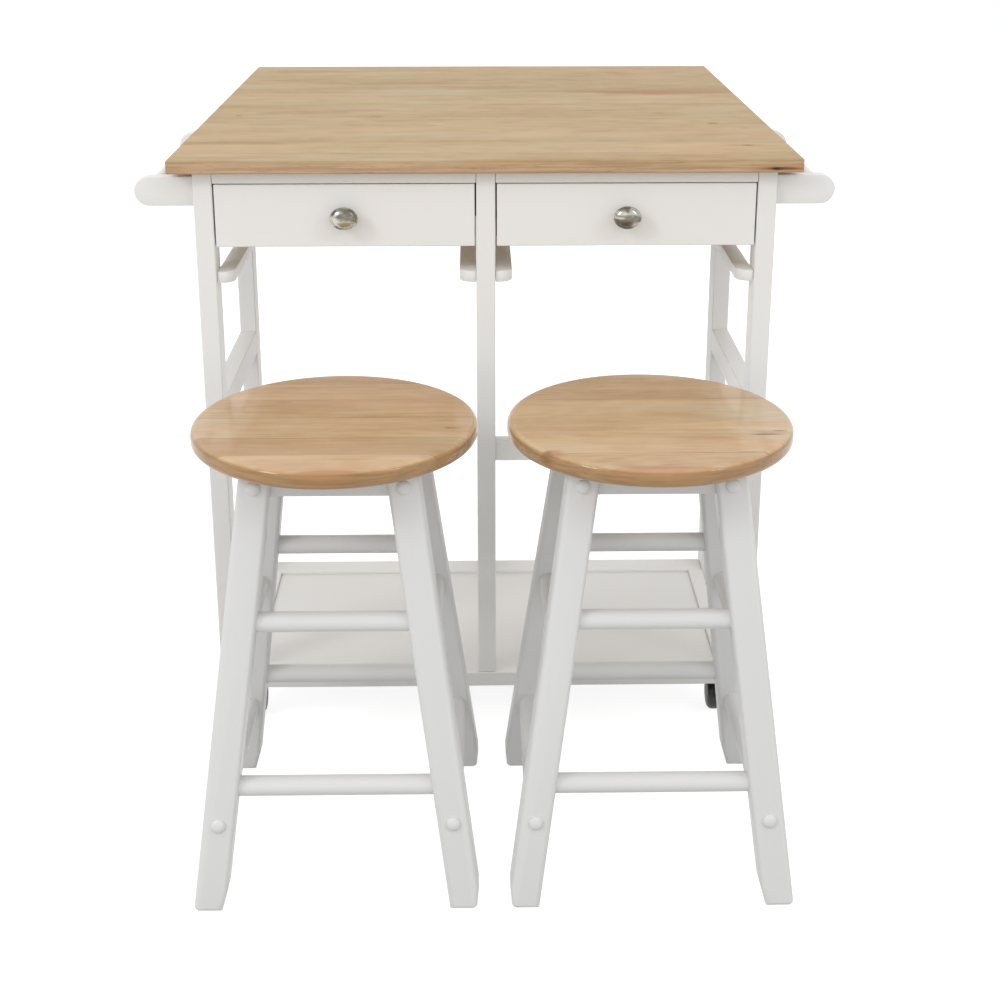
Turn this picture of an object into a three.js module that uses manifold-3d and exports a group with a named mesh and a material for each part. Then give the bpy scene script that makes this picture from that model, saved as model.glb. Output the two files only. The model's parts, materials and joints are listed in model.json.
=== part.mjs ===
// Drop leaf kitchen island on casters, with its two stools.
// Millimetres, +Z up. x runs along the worktop, y from the drawers (front) to the leaf (back).
// Inside this file y = 0 is the worktop's front edge; the group at the end puts the origin on the
// floor under the middle of the whole set.
import * as THREE from 'three';
import { mergeVertices } from 'three/addons/utils/BufferGeometryUtils.js';
import Module from 'manifold-3d';

const wasm = await Module();
wasm.setup();

// ---------------------------------------------------------------- driving dimensions
const seat_gap = 0.3; // between pieces that touch
const board_ease = 1.5; // chamfer on the boards' edges

// worktop and leaf
const top_width = 820;
const fixed_top_depth = 430;
const leaf_depth = 490;
const leaf_gap = 0.6;
const top_thickness = 18;
const overall_height = 830;

// frame
const side_overhang = 30; // of the worktop over the corner legs
const front_overhang = 18;
const leg_width = 25;
const leg_depth = 38;
const leg_drop = 4; // of the corner legs, below the shelf
const front_rail_height = 16;
const front_rail_thickness = 20;
const apron_drop = 101; // worktop underside to the lower edge of the aprons
const apron_thickness = 15;
const apron_inset = 5;
const stretcher_top = 495;
const stretcher_height = 35;

// bottom shelf
const shelf_thickness = 22;
const shelf_end_rail_width = 40;
const shelf_side_rail_width = 22;
const shelf_panel_thickness = 8;
const shelf_panel_drop = 4;
const shelf_ledge = 8; // that the panel lies on

// stool runners
const stool_seat_clearance = 12; // over the seat of a hanging stool
const stool_runner_width = 22.5;
const stool_runner_thickness = 15;
const stool_runner_end_radius = 17;
const stool_runner_setback = 4; // behind the front faces of the legs

// drawers
const drawer_gap = 2; // visible gap round a drawer front
const drawer_front_height = 83;
const drawer_front_thickness = 20;
const drawer_side_thickness = 12;
const drawer_side_height = 60;
const drawer_rear_clearance = 9.4;
const drawer_side_rise = 8; // lower edge of the front to the sides
const drawer_bottom_rise = 6; // lower edge of the sides to the bottom
const drawer_housing_depth = 5; // of the back in the sides
const drawer_back_inset = 4;
const drawer_box_clearance = 1.5; // box side to the leg faces
const drawer_bottom_thickness = 5;
const drawer_bottom_groove = 4;
const drawer_runner_height = 12;
const drawer_runner_clearance = 0.5;
const drawer_groove_depth = 6;

// knobs
const knob_width = 36;
const knob_height = 30;
const knob_reach = 25;
const knob_stud_radius = 2;
const knob_hole_radius = 2.6;

// towel rails
const towel_bracket_length = 78;
const towel_bracket_height = 39;
const towel_bracket_thickness = 18;
const towel_bracket_drop = 8; // below the worktop's underside
const towel_bar_radius = 9.5;
const towel_bar_socket = 10;

// butt hinges of the leaf and of the gate
const hinge_length = 60;
const hinge_plate_width = 20;
const hinge_plate_thickness = 1.5;
const hinge_barrel_radius = 3;
const hinge_pin_radius = 1.2;
const hinge_knuckle_gap = 0.5;
const leaf_hinge_spacing = 250;
const gate_hinge_inset = 85; // from the ends of the gate's stile

// gate that swings out under the leaf
const gate_side_reach = 4; // of the gate leg, past the side of the frame
const gate_leaf_clearance = 9.4; // folded gate to the edge of the fixed top
const gate_thickness = 22;
const gate_post_width = 26;
const gate_axis_inset = 3; // from the side of the centre leg
const gate_end_gap = 1; // hinge axis to the near edge of the gate
const gate_top_clearance = 5.7; // below the leaf's hinges
const gate_rail_height = 36;
const gate_lower_rail_bottom = 258;
const gate_stile_horn = 18; // of the stile, below the lower rail
const gate_tenon_length = 10;

// casters
const caster_height = 62; // floor to the face it is mounted on
const wheel_radius = 25;
const wheel_half_width = 22;
const wheel_inner_face = 4.4; // middle of the caster to a wheel's inner face
const axle_radius = 3;
const caster_trail = 22; // stem to axle
const hood_thickness = 2.4;
const hood_clearance = 1;
const hood_lower_edge = 31;
const neck_radius = 8.5;
const flange_radius = 11;
const stem_radius = 4;
const stem_length = 17;
const caster_inset_x = 36; // from the frame's side
const front_caster_inset = 22; // from the frame's front
const rear_caster_inset = 60; // from the frame's rear, clear of the gate's caster
const lever_width = 11.2;
const lever_reach = 15;
const lever_hub_radius = 3.2;
const lever_pin_radius = 1.2;
const lever_angle = 40; // pivot, above the axle's level, degrees

// stools
const stool_places = { left: [-182, -230, 0], right: [193, -230, 180] }; // x, y, turn in degrees
const seat_radius = 170;
const seat_thickness = 22;
const seat_edge_radius = 8;
const stool_height = 562;
const stool_foot_spread = 344; // outer faces of the feet
const stool_top_spread = 203; // outer faces of the legs at the seat
const stool_leg_section = 38;
const stool_leg_ease = 4;
const foot_chamfer_width = 4;
const foot_chamfer_height = 25;
const foot_corner = 6; // of the feet's outer edges
const rung_radius = 12;
const rung_socket_depth = 14;
const front_rung_heights = [149, 351]; // rungs at the front and back of a stool
const side_rung_heights = [110, 303];
const stool_apron_height = 38;
const stool_apron_thickness = 16;
const plug_radius = 8;
const plug_height = 5;
const top_plug_height = 517;

// facets round a full turn
const wheel_facets = 20;
const seat_facets = 44;
const rung_facets = 16;
const small_facets = 12;

// ---------------------------------------------------------------- derived places
const top_under = overall_height - top_thickness;
const frame_top = top_under - seat_gap;
const half_top = top_width / 2;
const half_frame = half_top - side_overhang;
const leg_inner = half_frame - leg_width; // inner faces of the corner legs
const half_leg = leg_width / 2;
const leg_bottom = caster_height - leg_drop;
const hinge_offset = hinge_barrel_radius + seat_gap; // hinge axis to the faces it is screwed to
const frame_front = front_overhang;
const frame_rear = fixed_top_depth - 2 * hinge_offset - gate_thickness - gate_leaf_clearance;
const front_leg_rear = frame_front + leg_depth;
const rear_leg_front = frame_rear - leg_depth;
const apron_bottom = top_under - apron_drop;
const shelf_bottom = caster_height;
const shelf_top = shelf_bottom + shelf_thickness;
const bay_middle = (half_leg + leg_inner) / 2;
const leaf_axis_y = fixed_top_depth + leaf_gap / 2;
const leaf_axis_z = top_under - hinge_offset;
const gate_axis_x = gate_axis_inset - half_leg;
const gate_axis_y = frame_rear + hinge_offset;
const gate_front = gate_axis_y + hinge_offset;
const gate_rear = gate_front + gate_thickness;
const gate_top = leaf_axis_z - hinge_barrel_radius - gate_top_clearance;
const gate_stile_bottom = gate_lower_rail_bottom - gate_stile_horn;
const gate_leg_outer = half_frame + gate_side_reach;
const gate_leg_x = gate_leg_outer - gate_post_width / 2;
const gate_leg_y = (gate_front + gate_rear) / 2;
const caster_x = half_frame - caster_inset_x;
const front_caster_y = frame_front + front_caster_inset;
const rear_caster_y = frame_rear - rear_caster_inset;

// ---------------------------------------------------------------- finishes
const finish = (color, roughness, metalness = 0) =>
  new THREE.MeshStandardMaterial({ color, roughness, metalness });
const worktop_wood = finish(0xcbb492, 0.45);
const seat_wood = finish(0xc8aa84, 0.45);
const white_paint = finish(0xe3e1dc, 0.4);
const plywood = finish(0xd8c8a8, 0.7);
const brushed_nickel = finish(0xb4b0a8, 0.35, 1);
const plated_steel = finish(0xc0c0bc, 0.3, 1);
const black_plastic = finish(0x161614, 0.4);

// ---------------------------------------------------------------- geometry helpers
// Positions only, with shared vertices.
function bare(geometry) {
  const copy = geometry.clone();
  copy.deleteAttribute('normal');
  copy.deleteAttribute('uv');
  return mergeVertices(copy);
}

function solid(geometry) {
  const { attributes, index } = bare(geometry);
  return new wasm.Manifold(
    new wasm.Mesh({
      numProp: 3,
      vertProperties: Float32Array.from(attributes.position.array),
      triVerts: Uint32Array.from(index.array),
    }),
  );
}

function geometryOf(body) {
  const { vertProperties, triVerts } = body.getMesh();
  const geometry = new THREE.BufferGeometry();
  geometry.setAttribute('position', new THREE.BufferAttribute(vertProperties, 3));
  geometry.setIndex(new THREE.BufferAttribute(triVerts, 1));
  return geometry;
}

const cut = (geometry, tools) =>
  geometryOf(tools.reduce((body, tool) => body.subtract(solid(tool)), solid(geometry)));

// Pieces that are glued or screwed into one.
const join = (parts) =>
  geometryOf(parts.slice(1).reduce((body, part) => body.add(solid(part)), solid(parts[0])));

function box(x0, x1, y0, y1, z0, z1) {
  const geometry = new THREE.BoxGeometry(x1 - x0, y1 - y0, z1 - z0);
  return geometry.translate((x0 + x1) / 2, (y0 + y1) / 2, (z0 + z1) / 2);
}

// A board with all its edges chamfered.
function board(x0, x1, y0, y1, z0, z1, ease = board_ease) {
  const shape = new THREE.Shape();
  shape.moveTo(x0 + ease, y0);
  shape.lineTo(x1 - ease, y0);
  shape.lineTo(x1, y0 + ease);
  shape.lineTo(x1, y1 - ease);
  shape.lineTo(x1 - ease, y1);
  shape.lineTo(x0 + ease, y1);
  shape.lineTo(x0, y1 - ease);
  shape.lineTo(x0, y0 + ease);
  shape.closePath();
  return raised(shape, z0, z1, ease);
}

const polygon = (points) =>
  new THREE.Shape(points.map(([u, v]) => new THREE.Vector2(u, v)));

// A shape in the xy plane, extruded from z0 to z1 with chamfered rims.
function raised(shape, z0, z1, ease = 0, curveSegments = 6) {
  const geometry = new THREE.ExtrudeGeometry(shape, {
    depth: z1 - z0 - 2 * ease,
    bevelEnabled: ease > 0,
    bevelThickness: ease,
    bevelSize: ease,
    bevelOffset: -ease,
    bevelSegments: 1,
    curveSegments,
  });
  return geometry.translate(0, 0, z0 + ease);
}

// The same for a shape drawn in the xz plane, from y0 to y1.
function raisedAlongY(shape, y0, y1, ease = 0, curveSegments = 6) {
  return raised(shape, -y1, -y0, ease, curveSegments).rotateX(Math.PI / 2);
}

// The same for a shape drawn in the yz plane, from x0 to x1.
function raisedAlongX(shape, x0, x1, curveSegments = 6) {
  const turn = new THREE.Matrix4().makeBasis(
    new THREE.Vector3(0, 1, 0),
    new THREE.Vector3(0, 0, 1),
    new THREE.Vector3(1, 0, 0),
  );
  return raised(shape, x0, x1, 0, curveSegments).applyMatrix4(turn);
}

// Round bars along each axis, from one end to the other.
function barAlongX(x0, x1, y, z, radius, facets = small_facets) {
  const geometry = new THREE.CylinderGeometry(radius, radius, x1 - x0, facets);
  return geometry.rotateZ(Math.PI / 2).translate((x0 + x1) / 2, y, z);
}

function barAlongY(x, y0, y1, z, radius, facets = small_facets) {
  const geometry = new THREE.CylinderGeometry(radius, radius, y1 - y0, facets);
  return geometry.translate(x, (y0 + y1) / 2, z);
}

function barAlongZ(x, y, z0, z1, radius, facets = small_facets) {
  const geometry = new THREE.CylinderGeometry(radius, radius, z1 - z0, facets);
  return geometry.rotateX(Math.PI / 2).translate(x, y, (z0 + z1) / 2);
}

// A turned piece about +Y from [radius, height] pairs, lowest first.
const turned = (profile, facets) =>
  new THREE.LatheGeometry(profile.map(([r, h]) => new THREE.Vector2(r, h)), facets);

const set = new THREE.Group();
function place(name, geometry, material, parent = set) {
  const mesh = new THREE.Mesh(geometry, material);
  mesh.name = name;
  parent.add(mesh);
  return mesh;
}

// The x span [near, far] of a piece, on the left (-1) or the right (1) of the middle.
const span = (side, near, far) => (side < 0 ? [-far, -near] : [near, far]);
const sides = { left: -1, right: 1 };

// ---------------------------------------------------------------- worktop and leaf
place(
  'fixed_top',
  board(-half_top, half_top, 0, fixed_top_depth, top_under, overall_height),
  worktop_wood,
);
const leaf_front = fixed_top_depth + leaf_gap;
const leaf_rear = leaf_front + leaf_depth;
place(
  'drop_leaf',
  board(-half_top, half_top, leaf_front, leaf_rear, top_under, overall_height),
  worktop_wood,
);

// Half of a butt hinge on the x axis, its plate against a face at height hinge_offset.
// The fixed half (-1) has the outer knuckles and the pin, the moving half (1) the middle one.
function hingeHalf(side, knuckles, pinned) {
  const high = hinge_barrel_radius;
  const low = high - hinge_plate_thickness;
  const clear = hinge_barrel_radius + hinge_knuckle_gap;
  const plate = span(side, clear, clear + hinge_plate_width);
  const parts = [box(-hinge_length / 2, hinge_length / 2, ...plate, low, high)];
  for (const [from, to] of knuckles) {
    parts.push(box(from, to, ...span(side, 0, clear + 1), low, high));
    parts.push(barAlongX(from, to, 0, 0, hinge_barrel_radius));
  }
  if (pinned) {
    parts.push(barAlongX(-hinge_length / 2, hinge_length / 2, 0, 0, hinge_pin_radius));
    return join(parts);
  }
  const bore = barAlongX(-hinge_length, hinge_length, 0, 0, hinge_pin_radius + seat_gap);
  return cut(join(parts), [bore]);
}

const knuckle = hinge_length / 6;
const fixedHalf = () =>
  hingeHalf(
    -1,
    [
      [-hinge_length / 2, -knuckle - hinge_knuckle_gap],
      [knuckle + hinge_knuckle_gap, hinge_length / 2],
    ],
    true,
  );
const movingHalf = () => hingeHalf(1, [[-knuckle, knuckle]], false);

const leaf_hinge_places = { left: -leaf_hinge_spacing, centre: 0, right: leaf_hinge_spacing };
for (const [where, x] of Object.entries(leaf_hinge_places)) {
  const fixed = place(`leaf_hinge_fixed_${where}`, fixedHalf(), plated_steel);
  const moving = place(`leaf_hinge_moving_${where}`, movingHalf(), plated_steel);
  for (const half of [fixed, moving]) half.position.set(x, leaf_axis_y, leaf_axis_z);
}

// ---------------------------------------------------------------- legs, rails and aprons
for (const [side, sign] of Object.entries(sides)) {
  const across = span(sign, leg_inner, half_frame);
  const front = board(...across, frame_front, front_leg_rear, leg_bottom, frame_top);
  const rear = board(...across, rear_leg_front, frame_rear, leg_bottom, frame_top);
  place(`leg_front_${side}`, front, white_paint);
  place(`leg_rear_${side}`, rear, white_paint);

  const stretcher_ends = [front_leg_rear + seat_gap, rear_leg_front - seat_gap];
  place(
    `side_stretcher_${side}`,
    board(...across, ...stretcher_ends, stretcher_top - stretcher_height, stretcher_top),
    white_paint,
  );
}

const shelf_seat = shelf_top + seat_gap;
place(
  'leg_front_centre',
  board(-half_leg, half_leg, frame_front, front_leg_rear, shelf_seat, frame_top),
  white_paint,
);
place(
  'leg_rear_centre',
  board(-half_leg, half_leg, rear_leg_front, frame_rear, shelf_seat, frame_top),
  white_paint,
);

const bay_near = half_leg + seat_gap;
const bay_far = leg_inner - seat_gap;
for (const [side, sign] of Object.entries(sides)) {
  const rail = board(
    ...span(sign, bay_near, bay_far),
    frame_front,
    frame_front + front_rail_thickness,
    top_under - front_rail_height,
    frame_top,
  );
  place(`front_rail_${side}`, rail, white_paint);
}

const apron_outer = half_frame - apron_inset;
const apron_inner = apron_outer - apron_thickness;
const rear_apron_rear = rear_leg_front - seat_gap;
const rear_apron_front = rear_apron_rear - apron_thickness;
const rear_apron_half = apron_inner - seat_gap;
place(
  'rear_apron',
  board(
    -rear_apron_half,
    rear_apron_half,
    rear_apron_front,
    rear_apron_rear,
    apron_bottom,
    frame_top,
  ),
  white_paint,
);

// ---------------------------------------------------------------- bottom shelf
// Four rails joined at the corners, with a ledge all round for the panel. The stems of the
// casters go up into them.
const caster_stems = [-caster_x, caster_x].flatMap((x) => [
  [x, front_caster_y],
  [x, rear_caster_y],
]);
const stemHole = (x, y, z) =>
  barAlongZ(x, y, z - 1, z + stem_length + 1, stem_radius + seat_gap + 0.1);
const rectangle = (x, y0, y1) =>
  polygon([
    [-x, y0],
    [x, y0],
    [x, y1],
    [-x, y1],
  ]);
const side_rail_inner = leg_inner - shelf_side_rail_width;
const front_rail_rear = frame_front + shelf_end_rail_width;
const rear_rail_front = frame_rear - shelf_end_rail_width;
const panel_top = shelf_top - shelf_panel_drop;
const panel_bottom = panel_top - shelf_panel_thickness;
const shelf_rails = rectangle(leg_inner - seat_gap, frame_front, frame_rear);
shelf_rails.holes.push(
  rectangle(
    side_rail_inner - shelf_ledge,
    front_rail_rear + shelf_ledge,
    rear_rail_front - shelf_ledge,
  ),
);
const panel_room = box(
  -side_rail_inner,
  side_rail_inner,
  front_rail_rear,
  rear_rail_front,
  panel_bottom - seat_gap,
  shelf_top + 1,
);
const shelf_holes = caster_stems.map(([x, y]) => stemHole(x, y, shelf_bottom));
place(
  'shelf_frame',
  cut(raised(shelf_rails, shelf_bottom, shelf_top, board_ease), [panel_room, ...shelf_holes]),
  white_paint,
);
place(
  'shelf_panel',
  box(
    -side_rail_inner + seat_gap,
    side_rail_inner - seat_gap,
    front_rail_rear + seat_gap,
    rear_rail_front - seat_gap,
    panel_bottom,
    panel_top,
  ),
  white_paint,
);

// ---------------------------------------------------------------- stool runners
// One board on each side of each bay, its free corners rounded in plan.
const stool_runner_top = apron_bottom - seat_thickness - stool_seat_clearance;
function stoolRunner(face, direction) {
  const near = face + direction * seat_gap;
  const far = face + direction * stool_runner_width;
  const inner = far - direction * stool_runner_end_radius;
  const y0 = frame_front + stool_runner_setback;
  const y1 = frame_rear - stool_runner_setback;
  const shape = new THREE.Shape();
  shape.moveTo(near, y0);
  shape.lineTo(inner, y0);
  shape.quadraticCurveTo(far, y0, far, y0 + stool_runner_end_radius);
  shape.lineTo(far, y1 - stool_runner_end_radius);
  shape.quadraticCurveTo(far, y1, inner, y1);
  shape.lineTo(near, y1);
  shape.closePath();
  return raised(shape, stool_runner_top - stool_runner_thickness, stool_runner_top, 1);
}
for (const [side, sign] of Object.entries(sides)) {
  place(`stool_runner_inner_${side}`, stoolRunner(sign * half_leg, sign), white_paint);
  place(`stool_runner_outer_${side}`, stoolRunner(sign * leg_inner, -sign), white_paint);
}

// ---------------------------------------------------------------- towel rails
// On each side a bar glued into two brackets with half-round ends.
const bracket_radius = towel_bracket_height / 2;
const bar_x = half_frame + towel_bracket_length - bracket_radius;
const bar_z = top_under - towel_bracket_drop - bracket_radius;
const bracket_front = frame_front + (leg_depth - towel_bracket_thickness) / 2;
const bracket_rear = frame_rear - (leg_depth + towel_bracket_thickness) / 2;
const bar_front = bracket_front + towel_bracket_thickness - towel_bar_socket;
const bar_rear = bracket_rear + towel_bar_socket;

function towelBracket(sign, y0) {
  const outline = [
    [half_frame + seat_gap, bar_z + bracket_radius],
    [half_frame + seat_gap, bar_z - bracket_radius],
  ];
  for (let i = 0; i <= 18; i++) {
    const a = (i / 18 - 0.5) * Math.PI;
    outline.push([bar_x + bracket_radius * Math.cos(a), bar_z + bracket_radius * Math.sin(a)]);
  }
  const shape = polygon(outline.map(([x, z]) => [sign * x, z]));
  return raisedAlongY(shape, y0, y0 + towel_bracket_thickness, board_ease);
}
for (const [side, sign] of Object.entries(sides)) {
  const bar = barAlongY(sign * bar_x, bar_front, bar_rear, bar_z, towel_bar_radius, 20);
  const brackets = [bracket_front, bracket_rear].map((y) => towelBracket(sign, y));
  place(`towel_rail_${side}`, join([bar, ...brackets]), white_paint);
}

// ---------------------------------------------------------------- drawers
// Each box hangs on two strips that run in grooves in its sides.
const drawer_front_top = top_under - front_rail_height - drawer_gap / 2;
const drawer_front_bottom = drawer_front_top - drawer_front_height;
const drawer_front_rear = frame_front + drawer_front_thickness;
const box_front = drawer_front_rear + seat_gap;
const box_rear = rear_apron_front - drawer_rear_clearance;
const box_near = half_leg + drawer_box_clearance;
const box_far = leg_inner - drawer_box_clearance;
const side_bottom = drawer_front_bottom + drawer_side_rise;
const side_top = side_bottom + drawer_side_height;
const strip_bottom = side_bottom + (drawer_side_height - drawer_runner_height) / 2;
const strip_top = strip_bottom + drawer_runner_height;
const strip_front = front_leg_rear + seat_gap;
const divider_rear = rear_apron_front - seat_gap;
const bottom_level = side_bottom + drawer_bottom_rise;
const bottom_room_top = bottom_level + drawer_bottom_thickness + seat_gap;
const knob_z = (drawer_front_bottom + drawer_front_top) / 2;

// The strips are screwed to the side aprons and to both faces of the divider.
const strip_reach = drawer_groove_depth - drawer_runner_clearance;
const strip = (sign, near, far) =>
  board(...span(sign, near, far), strip_front, divider_rear, strip_bottom, strip_top, 1);
for (const [side, sign] of Object.entries(sides)) {
  const apron = board(
    ...span(sign, apron_inner, apron_outer),
    strip_front,
    rear_apron_rear,
    apron_bottom,
    frame_top,
  );
  const runner = strip(sign, box_far - strip_reach, apron_inner + 1);
  place(`side_apron_${side}`, join([apron, runner]), white_paint);
}
const half_divider = apron_thickness / 2;
const divider = board(
  -half_divider,
  half_divider,
  strip_front,
  divider_rear,
  apron_bottom,
  frame_top,
);
const inner_strips = [-1, 1].map((sign) => strip(sign, half_divider - 1, box_near + strip_reach));
place('drawer_divider', join([divider, ...inner_strips]), white_paint);

function knobGeometry() {
  const reach = knob_reach;
  const head = turned(
    [
      [0, 0.3],
      [8, 0.3],
      [7.4, 2],
      [5, 4.5],
      [5, 8.5],
      [9, 11],
      [15, 13.5],
      [18, 17],
      [17, 20.5],
      [12.5, 23.2],
      [6.5, reach - 0.5],
      [0, reach],
    ],
    24,
  ).scale(knob_width / 36, 1, knob_height / 36);
  const inside = drawer_front_thickness + seat_gap;
  const stud = barAlongY(0, -inside - 1, 2, 0, knob_stud_radius);
  const screw_head = barAlongY(0, -inside - 3, -inside, 0, 2 * knob_stud_radius);
  return join([head, stud, screw_head]).rotateX(Math.PI);
}

for (const [side, sign] of Object.entries(sides)) {
  const front_edges = span(sign, half_leg + drawer_gap, leg_inner - drawer_gap);
  const bottom_edges = span(
    sign,
    box_near + drawer_side_thickness - drawer_bottom_groove,
    box_far - drawer_side_thickness + drawer_bottom_groove,
  );
  const bottom_front = drawer_front_rear - drawer_bottom_groove;
  const bottom_room = box(
    bottom_edges[0] - seat_gap,
    bottom_edges[1] + seat_gap,
    bottom_front - seat_gap,
    box_rear + 1,
    bottom_level - seat_gap,
    bottom_room_top,
  );
  const knob_hole = barAlongY(
    sign * bay_middle,
    frame_front - 1,
    drawer_front_rear + 1,
    knob_z,
    knob_hole_radius,
  );
  const face = board(
    ...front_edges,
    frame_front,
    drawer_front_rear,
    drawer_front_bottom,
    drawer_front_top,
  );
  place(`drawer_front_${side}`, cut(face, [bottom_room, knob_hole]), white_paint);

  const near_side = span(sign, box_near, box_near + drawer_side_thickness);
  const far_side = span(sign, box_far - drawer_side_thickness, box_far);
  const groove = (near, far) =>
    box(
      ...span(sign, near, far),
      strip_front - 10,
      box_rear + 1,
      strip_bottom - drawer_runner_clearance,
      strip_top + drawer_runner_clearance,
    );
  const sideBoard = (edges, tool) =>
    cut(board(...edges, box_front, box_rear, side_bottom, side_top, 1), [bottom_room, tool]);
  const housing = drawer_side_thickness - drawer_housing_depth;
  const back = board(
    ...span(sign, box_near + housing, box_far - housing),
    box_rear - drawer_back_inset - drawer_side_thickness,
    box_rear - drawer_back_inset,
    bottom_room_top,
    side_top - 1,
    1,
  );
  place(
    `drawer_box_${side}`,
    join([
      sideBoard(near_side, groove(box_near - 1, box_near + drawer_groove_depth)),
      sideBoard(far_side, groove(box_far - drawer_groove_depth, box_far + 1)),
      back,
    ]),
    plywood,
  );
  place(
    `drawer_bottom_${side}`,
    box(
      ...bottom_edges,
      bottom_front,
      box_rear,
      bottom_level,
      bottom_level + drawer_bottom_thickness,
    ),
    plywood,
  );
  const knob = place(`knob_${side}`, knobGeometry(), brushed_nickel);
  knob.position.set(sign * bay_middle, frame_front, knob_z);
}

// ---------------------------------------------------------------- gate
// It lies folded against the rear legs and swings out under the leaf.
const stile_near = gate_axis_x + gate_end_gap;
const stile_far = stile_near + gate_post_width;
const gate_leg_inner = gate_leg_outer - gate_post_width;
const gate_leg_top = top_under - 2 * seat_gap;
const gateRail = (z0) =>
  board(
    stile_far - gate_tenon_length,
    gate_leg_inner + gate_tenon_length,
    gate_front + 1,
    gate_rear - 1,
    z0,
    z0 + gate_rail_height,
  );
const gate_frame = join([
  board(stile_near, stile_far, gate_front, gate_rear, gate_stile_bottom, gate_top),
  board(gate_leg_inner, gate_leg_outer, gate_front, gate_rear, caster_height, gate_leg_top),
  gateRail(gate_top - gate_rail_height),
  gateRail(gate_lower_rail_bottom),
]);
const gate_hole = stemHole(gate_leg_x, gate_leg_y, caster_height);
place('gate_frame', cut(gate_frame, [gate_hole]), white_paint);

// Folded shut: hinge x runs up, the plates lie side by side between leg and stile.
const hinge_upright = new THREE.Matrix4().makeBasis(
  new THREE.Vector3(0, 0, 1),
  new THREE.Vector3(-1, 0, 0),
  new THREE.Vector3(0, -1, 0),
);
const gate_hinge_heights = {
  lower: gate_stile_bottom + gate_hinge_inset,
  upper: gate_top - gate_hinge_inset,
};
const upright = (half) => half.applyMatrix4(hinge_upright);
for (const [where, z] of Object.entries(gate_hinge_heights)) {
  const fixed = place(`gate_hinge_fixed_${where}`, upright(fixedHalf()), plated_steel);
  const swung = upright(movingHalf().rotateX(Math.PI));
  const moving = place(`gate_hinge_moving_${where}`, swung, plated_steel);
  for (const half of [fixed, moving]) half.position.set(gate_axis_x, gate_axis_y, z);
}

// ---------------------------------------------------------------- casters
// Drawn with the stem on the z axis and the axle behind it, at y = caster_trail.
const axle_z = wheel_radius;
const hood_radius = wheel_radius + hood_clearance + hood_thickness;
const pivot_distance = hood_radius + lever_hub_radius + 0.4;
const pivot_turn = THREE.MathUtils.degToRad(lever_angle);
const pivot_y = caster_trail + pivot_distance * Math.cos(pivot_turn);
const pivot_z = axle_z + pivot_distance * Math.sin(pivot_turn);

function wheelPair() {
  const w = wheel_half_width;
  const r = wheel_radius;
  const half = [
    [0, w],
    [0.74 * r, w - 1.2],
    [0.94 * r, w - 4.6],
    [r, w - 8.5],
    [r, wheel_inner_face + 3],
    [0.95 * r, wheel_inner_face],
    [axle_radius, wheel_inner_face],
  ];
  const profile = [...half.map(([p, a]) => [p, -a]), ...half.slice().reverse()];
  return turned(profile, wheel_facets).rotateZ(-Math.PI / 2);
}

function hood(braked) {
  const cover = solid(
    barAlongX(-wheel_half_width, wheel_half_width, caster_trail, axle_z, hood_radius, 28),
  ).subtract(
    solid(
      box(
        -2 * wheel_half_width,
        2 * wheel_half_width,
        caster_trail - 2 * hood_radius,
        caster_trail + 2 * hood_radius,
        -hood_radius,
        hood_lower_edge,
      ),
    ),
  );
  const web_half = wheel_inner_face - 1;
  const web = polygon([
    [-neck_radius + 1, hood_lower_edge + 4],
    [caster_trail - 9, axle_z - 8],
    [caster_trail, axle_z - 10],
    [caster_trail + 9, axle_z - 8],
    [caster_trail + 20, hood_lower_edge + 4],
    [caster_trail + 12, axle_z + 21],
    [0, axle_z + 24],
    [-neck_radius + 1, axle_z + 20],
  ]);
  let body = cover.add(solid(raisedAlongX(web, -web_half, web_half)));
  body = body.add(solid(barAlongZ(0, 0, hood_lower_edge + 4, caster_height - 4, neck_radius, 20)));
  const room = wheel_radius + hood_clearance;
  for (const [x0, x1] of [
    [web_half, 2 * wheel_half_width],
    [-2 * wheel_half_width, -web_half],
  ]) {
    body = body.subtract(solid(barAlongX(x0, x1, caster_trail, axle_z, room, 28)));
  }
  const bore = axle_radius + seat_gap;
  body = body.subtract(solid(barAlongX(-20, 20, caster_trail, axle_z, bore, 12)));
  const flange_top = caster_height - seat_gap;
  const collar = barAlongZ(0, 0, caster_height - 4.5, flange_top, flange_radius, 20);
  body = body.add(solid(collar));
  body = body.add(solid(barAlongZ(0, 0, flange_top - 1, flange_top + stem_length, stem_radius)));
  if (braked) {
    for (const x of [lever_width / 2 + 0.3, -lever_width / 2 - 0.3 - 2]) {
      const ear = polygon([
        [caster_trail + (hood_radius - 1) * Math.cos(1.0), axle_z + (hood_radius - 1) * Math.sin(1.0)],
        [caster_trail + (hood_radius - 1) * Math.cos(0.42), axle_z + (hood_radius - 1) * Math.sin(0.42)],
        [pivot_y + 3, pivot_z - 1],
        [pivot_y + 1, pivot_z + 3],
        [pivot_y - 3, pivot_z + 3],
      ]);
      body = body.add(solid(raisedAlongX(ear, x, x + 2)));
    }
    const pin_half = lever_width / 2 + 2;
    body = body.add(solid(barAlongX(-pin_half, pin_half, pivot_y, pivot_z, lever_pin_radius, 8)));
  }
  return geometryOf(body);
}

// Arched foot tab on its pivot.
function brakeLever() {
  const shape = new THREE.Shape();
  shape.absarc(0, 0, lever_hub_radius, 0.35, 2 * Math.PI - 0.75, false);
  shape.quadraticCurveTo(0.45 * lever_reach, 2.2, lever_reach, -1.6);
  shape.lineTo(lever_reach + 0.4, 0.6);
  shape.quadraticCurveTo(0.55 * lever_reach, 5.6, 3.0, 1.1);
  shape.closePath();
  const hole = new THREE.Path();
  hole.absarc(0, 0, lever_pin_radius + seat_gap, 0, 2 * Math.PI, true);
  shape.holes.push(hole);
  return raisedAlongX(shape, -lever_width / 2, lever_width / 2, 5);
}

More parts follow.
